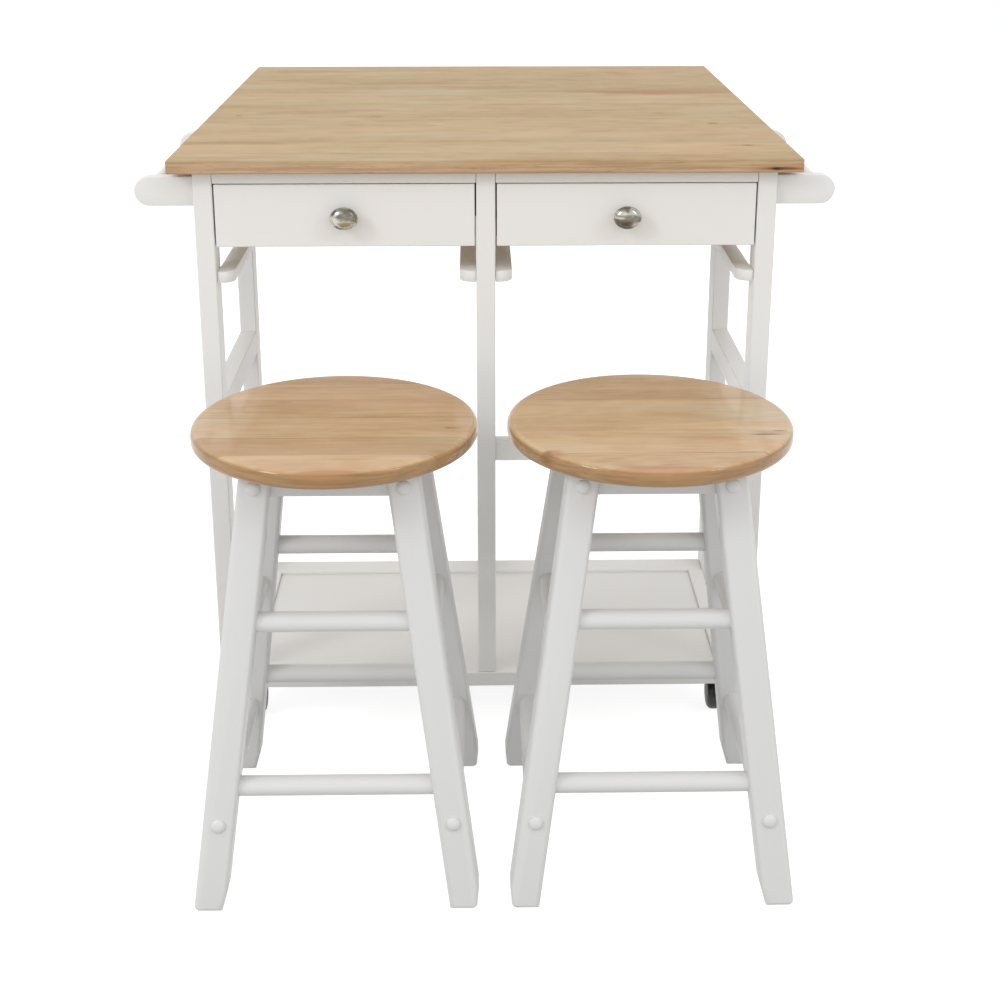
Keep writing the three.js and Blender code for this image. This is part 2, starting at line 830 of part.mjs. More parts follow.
// trail is the direction from stem to axle, counter-clockwise from +y, in degrees.
function caster(name, x, y, trail, braked) {
  const stand = new THREE.Group();
  stand.position.set(x, y, 0);
  stand.rotation.z = THREE.MathUtils.degToRad(trail);
  set.add(stand);
  place(`caster_hood_${name}`, hood(braked), black_plastic, stand);
  const wheels = place(`caster_wheels_${name}`, wheelPair(), black_plastic, stand);
  wheels.position.set(0, caster_trail, axle_z);
  if (braked) {
    const lever = place(`brake_lever_${name}`, brakeLever(), black_plastic, stand);
    lever.position.set(0, pivot_y, pivot_z);
  }
}
caster('front_left', -caster_x, front_caster_y, 0, true);
caster('front_right', caster_x, front_caster_y, 0, true);
caster('rear_left', -caster_x, rear_caster_y, 180, false);
caster('rear_right', caster_x, rear_caster_y, 180, false);
caster('gate', gate_leg_x, gate_leg_y, 0, true);

// ---------------------------------------------------------------- stools
const seat_under = stool_height - seat_thickness;
const leg_top = seat_under - seat_gap;
const splay = (stool_foot_spread - stool_top_spread) / 2 / seat_under; // per unit of height
const outerAt = (z) => stool_foot_spread / 2 - splay * z;
const middleAt = (z) => outerAt(z) - stool_leg_section / 2;
const innerAt = (z) => outerAt(z) - stool_leg_section;

// The leg on side_x, side_y (-1 or 1). Every foot has its +x face chamfered and its outer corner
// cut; the leg is sheared inwards both ways with height.
function splayedLeg(side_x, side_y) {
  const outer = stool_foot_spread / 2;
  const inner = outer - stool_leg_section;
  const chamfered = outer - foot_chamfer_width;
  const foot =
    side_x > 0
      ? [
          [inner, 0],
          [chamfered - foot_corner, 0],
          [chamfered, foot_corner],
          [outer, foot_chamfer_height],
        ]
      : [
          [inner, foot_chamfer_height],
          [inner + foot_chamfer_width, 0],
          [outer - foot_corner, 0],
          [outer, foot_corner],
        ];
  const outline = [...foot, [outer, leg_top], [inner, leg_top]];
  const shape = polygon(outline.map(([x, z]) => [side_x * x, z]));
  const [front, back] = span(side_y, inner, outer);
  const shear = new THREE.Matrix4().makeShear(0, 0, 0, 0, -side_x * splay, -side_y * splay);
  return raisedAlongY(shape, front, back, stool_leg_ease).applyMatrix4(shear);
}

// The rungs at the front and back run along x, those at the sides along y.
const rungEnd = (z) => innerAt(z) + rung_socket_depth;
const rungs = () =>
  [-1, 1].flatMap((sign) => [
    ...front_rung_heights.map((z) =>
      barAlongX(-rungEnd(z), rungEnd(z), sign * middleAt(z), z, rung_radius, rung_facets),
    ),
    ...side_rung_heights.map((z) =>
      barAlongY(sign * middleAt(z), -rungEnd(z), rungEnd(z), z, rung_radius, rung_facets),
    ),
  ]);

// Button plug, domed towards +Y from its base on the xz plane.
const buttonPlug = () =>
  turned(
    [
      [0, -1],
      [plug_radius, -1],
      [0.75 * plug_radius, 0.75 * plug_height],
      [0, plug_height],
    ],
    8,
  );

// On the four legs of a stool, at height z, on their front and back faces.
function plugsAt(z) {
  const lean = Math.atan(splay);
  return [-1, 1].flatMap((end) =>
    [0, Math.PI].map((turn) =>
      buttonPlug().rotateX(lean).translate(end * middleAt(z), outerAt(z), z).rotateZ(turn),
    ),
  );
}

// An apron under the seat, tenoned into two legs.
function stoolApron(turn) {
  const low = seat_under - stool_apron_height;
  const reach = innerAt(seat_under) + rung_socket_depth;
  const middle = middleAt(seat_under - stool_apron_height / 2);
  const half = stool_apron_thickness / 2;
  const apron = board(-reach, reach, middle - half, middle + half, low, leg_top - seat_gap, 1);
  return apron.rotateZ((turn * Math.PI) / 2);
}

const quarters = [0, 1, 2, 3];
const stoolBase = () =>
  join([
    ...[-1, 1].flatMap((side_x) => [-1, 1].map((side_y) => splayedLeg(side_x, side_y))),
    ...quarters.map(stoolApron),
    ...rungs(),
    ...plugsAt(side_rung_heights[0]),
    ...plugsAt(top_plug_height),
  ]);

function seatGeometry() {
  const e = seat_edge_radius;
  const low = seat_under;
  const high = stool_height;
  const arc = (cz, from, to, steps) =>
    Array.from({ length: steps + 1 }, (_, i) => {
      const a = from + ((to - from) * i) / steps;
      return [seat_radius - e + e * Math.cos(a), cz + e * Math.sin(a)];
    });
  const profile = [
    [0, low],
    ...arc(low + e, -Math.PI / 2, 0, 2),
    ...arc(high - e, 0, Math.PI / 2, 3),
    [0, high],
  ];
  return turned(profile, seat_facets).rotateX(Math.PI / 2);
}

for (const [side, [x, y, turn]] of Object.entries(stool_places)) {
  const stool = new THREE.Group();
  stool.position.set(x, y, 0);
  stool.rotation.z = (turn * Math.PI) / 180;
  set.add(stool);
  place(`stool_seat_${side}`, seatGeometry(), seat_wood, stool);
  place(`stool_base_${side}`, stoolBase(), white_paint, stool);
}

// ---------------------------------------------------------------- the set's own frame
const set_front = stool_places.left[1] - outerAt(stool_leg_ease); // the feet's edges are eased
set.position.y = -(set_front + leaf_rear) / 2;
const drop_leaf_island = new THREE.Group();
drop_leaf_island.add(set);

export default drop_leaf_island;
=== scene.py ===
"""Drop leaf kitchen island on casters, with its two stools."""

import json
import math

import bmesh
import bpy
from mathutils import Matrix, Vector


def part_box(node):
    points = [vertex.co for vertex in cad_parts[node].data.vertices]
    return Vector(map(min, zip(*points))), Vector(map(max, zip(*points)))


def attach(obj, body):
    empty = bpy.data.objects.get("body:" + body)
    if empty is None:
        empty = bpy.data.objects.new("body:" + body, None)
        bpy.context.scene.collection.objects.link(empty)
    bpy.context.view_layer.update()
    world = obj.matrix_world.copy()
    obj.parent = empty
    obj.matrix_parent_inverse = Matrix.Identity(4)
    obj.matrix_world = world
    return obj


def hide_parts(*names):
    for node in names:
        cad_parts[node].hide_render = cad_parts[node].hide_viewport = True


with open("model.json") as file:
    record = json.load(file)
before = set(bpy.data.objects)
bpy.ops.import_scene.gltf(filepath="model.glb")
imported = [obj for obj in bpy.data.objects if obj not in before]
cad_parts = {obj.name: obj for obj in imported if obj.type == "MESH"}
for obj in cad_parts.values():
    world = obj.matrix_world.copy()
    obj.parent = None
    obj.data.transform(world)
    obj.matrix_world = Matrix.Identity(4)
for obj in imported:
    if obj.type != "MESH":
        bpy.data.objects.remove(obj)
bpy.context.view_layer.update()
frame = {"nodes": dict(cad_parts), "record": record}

MM = 0.001
X, Y, Z = (1, 0, 0), (0, 1, 0), (0, 0, 1)
SIDES = {"left": -1, "right": 1}
ENDS = {"front": -1, "rear": 1}

# ------------------------------------------------------------------ sizes that the frame lacks
# How far the edges of boards are rounded.
BOARD_EASE = 1.6 * MM
TOP_EASE = 2.2 * MM
LEG_EASE = 1.8 * MM
BRACKET_EASE = 1.8 * MM
FRONT_EASE = 1.3 * MM
THIN_EASE = 1.2 * MM
STRIP_EASE = 0.8 * MM
DRAWER_SIDE_EASE = 0.7 * MM
BOTTOM_EASE = 0.3 * MM
SHARP = math.radians(60)
JOINT_GAP = 0.1 * MM

STOOL_LEG = 38 * MM
STOOL_LEG_EASE = 6 * MM
STOOL_FOOT_SPREAD = 344 * MM
STOOL_TOP_SPREAD = 203 * MM
FOOT_CHAMFER_WIDTH = 4 * MM
FOOT_CHAMFER_HEIGHT = 25 * MM
FOOT_CORNER = 7 * MM
RUNG_RADIUS = 12 * MM
RUNG_SOCKET = 14 * MM
FRONT_RUNG_HEIGHTS = (149 * MM, 351 * MM)
SIDE_RUNG_HEIGHTS = (110 * MM, 303 * MM)
TOP_PLUG_HEIGHT = 517 * MM
PLUG_RADIUS = 8.5 * MM
PLUG_HEIGHT = 5 * MM
PLUG_RIM = 0.8 * MM
APRON_HEIGHT = 38 * MM
APRON_THICKNESS = 16 * MM
APRON_TOP_GAP = 0.3 * MM
SEAT_EDGE = 8 * MM

TOWEL_BAR_RADIUS = 9.5 * MM
TOWEL_BAR_TENON = 8 * MM
TOWEL_BRACKET = 18 * MM
SHELF_END_RAIL = 40 * MM
SHELF_SIDE_RAIL = 22 * MM
SHELF_JOINT_GAP = 0.15 * MM
RUNNER_CORNER = 17 * MM
APRON_BOARD = 15 * MM

DRAWER_SIDE = 12 * MM
DRAWER_GROOVE = 6 * MM
DRAWER_GROOVE_LIFT = 23.5 * MM
DRAWER_STRIP = 12 * MM
DRAWER_STRIP_LIFT = 24 * MM
DRAWER_BACK_LIFT = 11.5 * MM
DRAWER_BACK_FACES = (16 * MM, 4 * MM)
KNOB_STUD_RADIUS = 2 * MM
KNOB_SCREW_GAP = 0.3 * MM

GATE_POST = 26 * MM
GATE_RAIL = 36 * MM
GATE_LOWER_RAIL = 258 * MM
GATE_TOP_DROP = 5.7 * MM
GATE_STILE_DROP = 18 * MM

HINGE_BARREL = 3 * MM
HINGE_PLATE = 1.5 * MM
HINGE_PLATE_START = 3.5 * MM
HINGE_STRAP_END = 4.5 * MM
HINGE_PIN = 1.2 * MM
KNUCKLE_GAP = 0.5 * MM
HINGE_SCREWS = (-0.36, 0.0, 0.36)
HINGE_SCREW_STAGGER = 2 * MM

CASTER_TRAIL = 22 * MM
CASTER_AXLE = 25 * MM
HOOD_RADIUS = 28.4 * MM
HOOD_WALL = 2.4 * MM
HOOD_SHOULDER = 7 * MM
HOOD_LOWER_EDGE = 31 * MM
WHEEL_INNER_FACE = 4.4 * MM
EAR_THICKNESS = 1.5 * MM
EAR_PLACES = (-7.4 * MM, 5.9 * MM)
LEVER_PIN_RADIUS = 1.2 * MM
LEVER_PIN_REACH = 7.6 * MM
LEVER_PIVOT_REACH = HOOD_RADIUS + 3.6 * MM
LEVER_PIVOT_ANGLE = math.radians(40)
LEVER_HALF_WIDTH = 5.6 * MM
RIB_HALF_WIDTH = 4.6 * MM

# Outlines in millimetres. Turned ones are (radius, height) pairs, the others (y, z) pairs.
KNOB_FOOT = [(0, 0.3), (8.2, 0.3), (8.4, 0.9), (7.9, 1.8), (6.2, 3.2), (5.3, 5.2), (5.1, 7.6)]
KNOB_NECK = [(5.9, 9.6), (8.4, 11.4), (12.0, 12.8), (15.2, 13.9), (17.1, 15.2)]
KNOB_BEAD = [(17.9, 16.8), (18.0, 18.0), (17.6, 19.2), (16.9, 19.9), (16.2, 20.0), (15.8, 19.8)]
KNOB_DOME = [(15.2, 20.6), (13.6, 21.9), (11.0, 23.2), (7.4, 24.2), (3.6, 24.8), (0, 25.0)]
KNOB_SCREW = [(0, 0), (3.9, 0), (4, 0.8), (3.2, 2.6), (0, 3)]
HINGE_SCREW = [(0, 0.15), (1.0, 0.15), (2.7, 0.35), (2.9, 0)]
CASTER_COLLAR = [(0, 35), (8.2, 35), (8.5, 36), (8.5, 53), (9.2, 55.5), (10.6, 57.2), (10.6, 61.2)]
CASTER_STEM = [(10.2, 61.7), (4, 61.7), (4, 77.6), (3.2, 78.7), (0, 78.7)]
CASTER_WEB = [(-7.5, 35), (13, 17), (22, 15), (31, 17), (42, 35), (34, 46), (22, 49), (-7.5, 46)]
BRAKE_EAR = [(36.6, 49.0), (45.2, 36.6), (49.5, 44.6), (47.5, 48.6), (43.5, 48.6)]
LEVER_UNDER = [(6.8, 0.6), (10.5, -0.2), (13.4, -1.3), (14.9, -1.8)]
LEVER_TIP = [(15.4, -0.8), (15.3, 0.4)]
LEVER_OVER = [(13.0, 1.9), (10.0, 2.9), (7.0, 3.3), (4.6, 2.9)]
LEVER_RIB = [(0, 0), (0.9, -0.2), (0.7, 0.5)]
LEVER_RIB_PLACES = [(8.2, 3.05), (10.2, 2.7), (12.2, 2.1)]

# Light. The floor sends back less light than the camera sees on it.
SKY_LIGHT = 1.05
FLOOR_SHADE = 0.42
FLOOR_LIFT = 0.85
LAMP_AIM = Vector((0, 0, 0.45))
LAMPS = (
    ("left_key", (-4.4, -3.6, 4.2), 1.4, 76),
    ("right_key", (4.4, -3.6, 4.2), 1.1, 30),
    ("front_fill", (0.0, -6.0, 2.0), 3.0, 14),
)


# ------------------------------------------------------------------ shader nodes
class Nodes:
    """A node tree, and the ways to add to it."""

    def __init__(self, tree):
        self.tree = tree

    def add(self, kind, inputs=(), **settings):
        node = self.tree.nodes.new(kind)
        for name, value in settings.items():
            setattr(node, name, value)
        for key, value in dict(inputs).items():
            self.feed(node.inputs[key], value)
        return node

    def feed(self, socket, value):
        if isinstance(value, bpy.types.NodeSocket):
            self.tree.links.new(value, socket)
        else:
            socket.default_value = value

    def math(self, operation, a, b=0.0, c=0.0, clamp=False):
        inputs = {0: a, 1: b, 2: c}
        node = self.add("ShaderNodeMath", inputs, operation=operation, use_clamp=clamp)
        return node.outputs["Value"]

    def seen(self):
        """1 on rays that the camera sees, also mirrored or through glass, else 0."""
        rays = self.add("ShaderNodeLightPath").outputs
        seen = self.math("MAXIMUM", rays["Is Camera Ray"], rays["Is Glossy Ray"])
        return self.math("MAXIMUM", seen, rays["Is Transmission Ray"])


class Finish(Nodes):
    """A material, built up node by node from the piece's own coordinates."""

    def __init__(self, name):
        self.material = bpy.data.materials.new(name)
        self.material.use_nodes = True
        super().__init__(self.material.node_tree)
        self.shader = self.tree.nodes["Principled BSDF"]
        self.place = self.add("ShaderNodeTexCoord").outputs["Object"]

    def surface(self, **values):
        for name, value in values.items():
            self.feed(self.shader.inputs[name.replace("_", " ")], value)

    def mapped(self, scale=(1, 1, 1), location=(0, 0, 0), vector=None):
        inputs = {"Vector": vector or self.place, "Scale": scale, "Location": location}
        return self.add("ShaderNodeMapping", inputs).outputs["Vector"]

    def noise(self, scale, detail=4.0, roughness=0.55, distortion=0.0, **place):
        """Noise that is the finer along an axis, the larger its scale. place goes to mapped."""
        inputs = {"Vector": self.mapped(scale, **place), "Scale": 1.0, "Detail": detail}
        inputs |= {"Roughness": roughness, "Distortion": distortion}
        return self.add("ShaderNodeTexNoise", inputs).outputs["Fac"]

    def spread(self, value, low, high, to_low=0.0, to_high=1.0):
        """Takes low to high smoothly to to_low to to_high."""
        inputs = {"Value": value, 1: low, 2: high, 3: to_low, 4: to_high}
        node = self.add("ShaderNodeMapRange", inputs, interpolation_type="SMOOTHSTEP")
        return node.outputs["Result"]

    def mix(self, factor, a, b):
        """a where factor is 0, b where it is 1. The numbers are the colour sockets."""
        node = self.add("ShaderNodeMix", data_type="RGBA")
        for index, value in ((0, factor), (6, a), (7, b)):
            self.feed(node.inputs[index], value)
        return node.outputs[2]

    def ramp(self, factor, stops, interpolation="LINEAR"):
        """stops are (place, grey)."""
        node = self.add("ShaderNodeValToRGB", {"Fac": factor})
        node.color_ramp.interpolation = interpolation
        elements = node.color_ramp.elements
        while len(elements) < len(stops):
            elements.new(0.5)
        for element, (place, grey) in zip(elements, stops):
            element.position = place
            element.color = (grey, grey, grey, 1)
        return node.outputs["Color"]

    def bump(self, height, distance, strength):
        inputs = {"Height": height, "Distance": distance, "Strength": strength}
        self.surface(Normal=self.add("ShaderNodeBump", inputs).outputs["Normal"])

    def spot(self, centre, reach, wander=None):
        """1 at centre, falling to 0 at reach from it, along each axis."""
        scale = tuple(1 / r for r in reach)
        local = self.mapped(scale, tuple(-c * s for c, s in zip(centre, scale)))
        length = self.add("ShaderNodeVectorMath", {0: local}, operation="LENGTH").outputs["Value"]
        if wander is not None:
            length = self.math("ADD", length, wander)
        return self.spread(length, 0.25, 1.0, 1.0, 0.0)


def tone(red, green, blue):
    """A linear colour from its 0 to 255 values in the picture."""

    def linear(value):
        v = value / 255
        return v / 12.92 if v <= 0.04045 else ((v + 0.055) / 1.055) ** 2.4

    return (linear(red), linear(green), linear(blue))


def rgba(colour):
    return (*colour, 1)


def darker(colour, share):
    return tuple(c * share for c in colour)


def stretched(axis, along, across):
    """The scale of a noise that is drawn out along axis, 0 to 2."""
    return tuple(along if i == axis else across for i in range(3))


# ------------------------------------------------------------------ finishes
MARKS = {
    "knot": tone(104, 70, 46),
    "brown": tone(156, 118, 74),
    "red": tone(168, 106, 68),
    "crack": tone(52, 32, 20),
}
BLUSH, ASHEN = tone(203, 162, 124), tone(184, 171, 143)
SEAM = tone(134, 98, 66)
COAT_ROUGHNESS = 0.09
# The figure of each board is moved by its tone times this, so that no two boards match.
BOARD_SHIFT = 37.0
OIL = {
    "contrast": 0.9,
    "cloudy": 0.95,
    "streaky": 0.25,
    "seam": 0.9 * MM,
    "seam_depth": (0.05, 0.5),
    "roughness": 0.46,
    "specular": 0.2,
    "lacquer": 0.0,
}
LACQUER = {
    "contrast": 1.4,
    "cloudy": 0.6,
    "streaky": 0.9,
    "seam": 1.3 * MM,
    "seam_depth": (0.25, 0.9),
    "roughness": 0.32,
    "specular": 0.25,
    "lacquer": 0.6,
}


def glued_boards(name, pale, dark, edge, origin, boards, top, finish, marks, rim_marks=()):
    """Hardwood boards glued edge to edge, their grain along x.

    All places are from origin. boards are (y of the front edge, tone from 0 pale to 1 dark), from
    the front. marks are (kind, x, y, half length, half width, strength), and rim_marks, on the
    front edge, (kind, x, depth below the top, half length, half height, strength).
    finish holds how strong the figure is and the sheen of the oil or lacquer.
    """
    f = Finish(name)
    place = f.mapped(location=(-origin[0], -origin[1], -top))
    from_origin = f.add("ShaderNodeSeparateXYZ", {"Vector": place}).outputs
    low, high = boards[0][0], boards[-1][0]
    along = f.math("DIVIDE", f.math("SUBTRACT", from_origin["Y"], low), high - low)
    places = [(board_y - low) / (high - low) for board_y, _ in boards]
    stops = [(p, t) for p, (_, t) in zip(places, boards)]
    board_tone = f.ramp(along, stops, interpolation="CONSTANT")
    shift = f.math("MULTIPLY", board_tone, BOARD_SHIFT)
    moved = f.add("ShaderNodeCombineXYZ", {"X": shift, "Y": shift}).outputs["Vector"]
    own = f.add("ShaderNodeVectorMath", {0: f.place, 1: moved}, operation="ADD").outputs["Vector"]

    # How dark the wood is: broad figure, clouds, growth rings, streaks and the board's own tone.
    broad = f.noise((1.9, 12, 12), 4.0, 0.55, 0.5, vector=own)
    cloud = f.noise((13, 24, 24), 3.0, 0.5, 0.8, vector=own)
    mottle = f.noise((30, 52, 52), 3.0, 0.55, 0.5, vector=own)
    figure = f.noise((1.2, 10, 10), 2.0, 0.4, 0.7, vector=own)
    rings = f.math("SINE", f.math("MULTIPLY", figure, 120.0))
    fine = f.noise((8, 190, 190), 5.0, 0.65, 0.2, vector=own)
    streaks = f.noise((20, 430, 430), 4.0, 0.6, 0.1, vector=own)
    pores = f.noise((30, 1100, 1100), 2.0, 0.5, vector=own)
    depth = f.math("MULTIPLY", rings, 0.06)
    cloudy, streaky = finish["cloudy"], finish["streaky"]
    shares = [(broad, 1.0), (cloud, cloudy), (mottle, 0.7 * cloudy)]
    shares += [(fine, 0.8 * streaky), (streaks, 0.9 * streaky)]
    for part, share in shares:
        depth = f.math("ADD", depth, f.math("MULTIPLY_ADD", part, share, -share / 2))
    depth = f.math("ADD", depth, f.math("MULTIPLY_ADD", board_tone, 0.75, -0.30))
    depth = f.math("MULTIPLY_ADD", depth, finish["contrast"], 0.5, clamp=True)
    colour = f.mix(depth, rgba(pale), rgba(dark))
    blush = f.noise((2.6, 19, 19), 3.0, 0.5, 0.4, vector=own)
    colour = f.mix(f.spread(blush, 0.48, 0.72, 0.0, 0.38), colour, rgba(BLUSH))
    ashen = f.noise((3.1, 15, 15), 3.0, location=(4, 9, 2), vector=own)
    colour = f.mix(f.spread(ashen, 0.48, 0.72, 0.0, 0.5), colour, rgba(ASHEN))

    # Marks on the top, their outlines ragged but for cracks.
    ragged = f.math("MULTIPLY_ADD", f.noise((16, 110, 110)), 1.3, -0.65)
    crack = 0.0
    for kind, mark_x, mark_y, length, width, strength in marks:
        centre = (origin[0] + mark_x, origin[1] + mark_y, top)
        wander = None if kind == "crack" else ragged
        mark = f.math("MULTIPLY", f.spot(centre, (length, width, 1), wander), strength)
        colour = f.mix(mark, colour, rgba(MARKS[kind]))
        if kind == "crack":
            crack = f.math("MAXIMUM", crack, mark)

    # Seams between the boards, darker in some stretches than in others.
    half = finish["seam"] / (high - low)
    gaps = []
    for p in places[1:-1]:
        gaps += [(p - half, 0.0), (p, 1.0), (p + half, 0.0)]
    worn = f.spread(f.noise((6, 30, 30), 2.0), 0.40, 0.62, *finish["seam_depth"])
    seam = f.math("MULTIPLY", f.ramp(along, gaps), worn)
    colour = f.mix(seam, colour, rgba(SEAM))

    # The edge, with its own colour, flecks and marks.
    side = f.spread(from_origin["Z"], -4.5 * MM, -1.5 * MM, 1.0, 0.0)
    wavy = f.noise((9, 60, 330), 5.0, 0.65, 0.4)
    edge_colour = f.mix(f.spread(wavy, 0.36, 0.66), rgba(edge), rgba(darker(edge, 0.66)))
    fleck = f.noise((46, 60, 420), 2.0, 0.6)
    edge_colour = f.mix(f.spread(fleck, 0.60, 0.70, 0.0, 0.45), edge_colour, rgba(MARKS["red"]))
    colour = f.mix(f.math("MULTIPLY", side, 0.85), colour, edge_colour)
    for kind, mark_x, drop, length, tall, strength in rim_marks:
        centre = (origin[0] + mark_x, origin[1], top - drop)
        mark = f.spot(centre, (length, 4 * MM, tall), f.math("MULTIPLY", ragged, 0.6))
        colour = f.mix(f.math("MULTIPLY", mark, strength), colour, rgba(MARKS[kind]))

    height = f.math("MULTIPLY_ADD", fine, 0.6, f.math("MULTIPLY", pores, 0.4))
    height = f.math("SUBTRACT", height, f.math("MULTIPLY", seam, 0.8))
    height = f.math("SUBTRACT", height, f.math("MULTIPLY", crack, 3.0))
    f.bump(height, 0.12 * MM, 0.6)
    gloss = finish["roughness"]
    f.surface(Base_Color=colour, Roughness=f.spread(fine, 0.2, 0.8, gloss, gloss + 0.14))
    f.surface(Specular_IOR_Level=finish["specular"])
    f.surface(Coat_Weight=finish["lacquer"], Coat_Roughness=COAT_ROUGHNESS)
    return f.material


def white_paint(name, axis, pale, shade):
    """Satin paint on a board whose grain runs along axis, 0 to 2: it still shows a little."""
    f = Finish(f"{name}_along_" + "xyz"[axis])
    grain = f.noise(stretched(axis, 5.0, 150.0), 4.0, 0.6, 0.1)
    cloud = f.noise((3, 3, 3), 2.0)
    peel = f.noise((260, 260, 260), 2.0)
    coat = f.mix(cloud, rgba(pale), rgba(shade))
    thin = rgba(darker(shade, 0.86))
    colour = f.mix(f.spread(grain, 0.62, 0.8, 0.0, 0.35), coat, thin)
    f.surface(Base_Color=colour, Roughness=f.spread(cloud, 0.3, 0.7, 0.36, 0.46))
    f.surface(Specular_IOR_Level=0.42)
    f.bump(f.math("MULTIPLY_ADD", grain, 0.7, f.math("MULTIPLY", peel, 0.3)), 0.12 * MM, 0.5)
    return f.material


def birch_ply(axis):
    """Bare ply, its face grain along axis and its layers showing on the edges."""
    f = Finish("birch_ply_along_" + "xyz"[axis])
    grain = f.noise(stretched(axis, 4.0, 70.0), 5.0, 0.6, 0.4)
    wave = {"Vector": f.place, "Scale": 180.0, "Distortion": 0.4, "Detail": 1.0}
    layers = f.add("ShaderNodeTexWave", wave, bands_direction="X").outputs["Fac"]
    colour = f.mix(grain, rgba(tone(226, 206, 172)), rgba(tone(196, 168, 128)))
    colour = f.mix(f.math("MULTIPLY", layers, 0.12), colour, rgba(tone(150, 120, 86)))
    f.surface(Base_Color=colour, Roughness=f.spread(grain, 0.2, 0.8, 0.6, 0.74))
    f.bump(grain, 0.15 * MM, 0.5)
    return f.material


def metal(name, colour, worn, roughness, scratches, reflection_share=0.0):
    """Brushed metal, its scratches along the axis on which their scale is smallest.

    The last argument is the share of large dark patches in what takes the colour towards the
    second colour; the rest is scratches. The dark patches are painted reflection.
    """
    f = Finish(name)
    scratch = f.noise(scratches, 5.0, 0.7)
    cloud = f.noise((60, 60, 60), 2.0)
    # Large dark patches: painted reflection of a dark room on the metal.
    painted_reflection = f.spread(f.noise((42, 42, 70), 3.0, 0.5, 0.6), 0.44, 0.58)
    shade = f.math("MULTIPLY_ADD", painted_reflection, reflection_share, f.math("MULTIPLY", scratch, 1 - reflection_share))
    f.surface(Base_Color=f.mix(shade, rgba(colour), rgba(worn)), Metallic=1.0)
    rough = f.math("MULTIPLY_ADD", scratch, 0.16, roughness - 0.1)
    f.surface(Roughness=f.math("MULTIPLY_ADD", cloud, 0.06, rough))
    f.bump(scratch, 0.03 * MM, 0.35)
    return f.material


def moulded_plastic(name, colour, roughness):
    """Moulded plastic with a fine satin texture and a little dust."""
    f = Finish(name)
    grain = f.noise((900, 900, 900), 2.0)
    dust = f.spread(f.noise((45, 45, 45), 4.0), 0.5, 0.85)
    dusty = rgba(tuple(c * 1.7 + 0.004 for c in colour))
    f.surface(Base_Color=f.mix(dust, rgba(colour), dusty))
    f.surface(Roughness=f.spread(dust, 0.0, 1.0, roughness, roughness + 0.14))
    f.bump(grain, 0.03 * MM, 0.35)
    return f.material


# ------------------------------------------------------------------ woods, with their own marks
worktop_low, worktop_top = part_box("fixed_top")
both_tops_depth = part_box("drop_leaf")[1].y - worktop_low.y
oiled_worktop = glued_boards(
    "oiled_worktop",
    pale=tone(188, 165, 127),
    dark=tone(160, 133, 93),
    edge=tone(203, 171, 136),
    origin=(0, worktop_low.y),
    boards=[
        (0, 0.50),
        (0.050, 0.12),
        (0.129, 0.34),
        (0.345, 0.46),
        (0.470, 0.22),
        (0.562, 0.58),
        (0.755, 0.36),
        (both_tops_depth, 0.36),
    ],
    top=worktop_top.z,
    finish=OIL,
    rim_marks=[
        ("red", 0.378, 0.0122, 0.048, 0.0040, 0.90),
        ("knot", 0.380, 0.0124, 0.034, 0.0028, 0.90),
        ("crack", 0.374, 0.0126, 0.011, 0.0030, 0.90),
    ],
    marks=[
        ("knot", 0.332, 0.279, 0.012, 0.009, 0.60),
        ("knot", 0.353, 0.100, 0.011, 0.005, 0.85),
        ("brown", 0.352, 0.099, 0.040, 0.006, 0.50),
        ("knot", -0.366, 0.358, 0.007, 0.007, 0.50),
        ("brown", -0.160, 0.348, 0.014, 0.014, 0.55),
        ("brown", -0.076, 0.263, 0.020, 0.008, 0.50),
        ("brown", 0.264, 0.372, 0.014, 0.008, 0.45),
        ("brown", 0.372, 0.238, 0.012, 0.006, 0.45),
        ("brown", 0.200, 0.084, 0.036, 0.003, 0.50),
        ("red", 0.295, 0.588, 0.170, 0.030, 0.60),
        ("brown", 0.290, 0.600, 0.210, 0.045, 0.45),
        ("brown", 0.225, 0.592, 0.085, 0.014, 0.85),
        ("brown", 0.120, 0.600, 0.160, 0.014, 0.40),
        ("red", 0.235, 0.570, 0.080, 0.006, 0.50),
        ("red", 0.380, 0.545, 0.060, 0.012, 0.35),
        ("red", 0.045, 0.366, 0.110, 0.010, 0.35),
        ("brown", -0.345, 0.128, 0.110, 0.020, 0.62),
        ("brown", -0.250, 0.147, 0.060, 0.010, 0.35),
        ("brown", -0.290, 0.850, 0.120, 0.022, 0.35),
        ("red", -0.150, 0.700, 0.200, 0.012, 0.25),
    ],
)
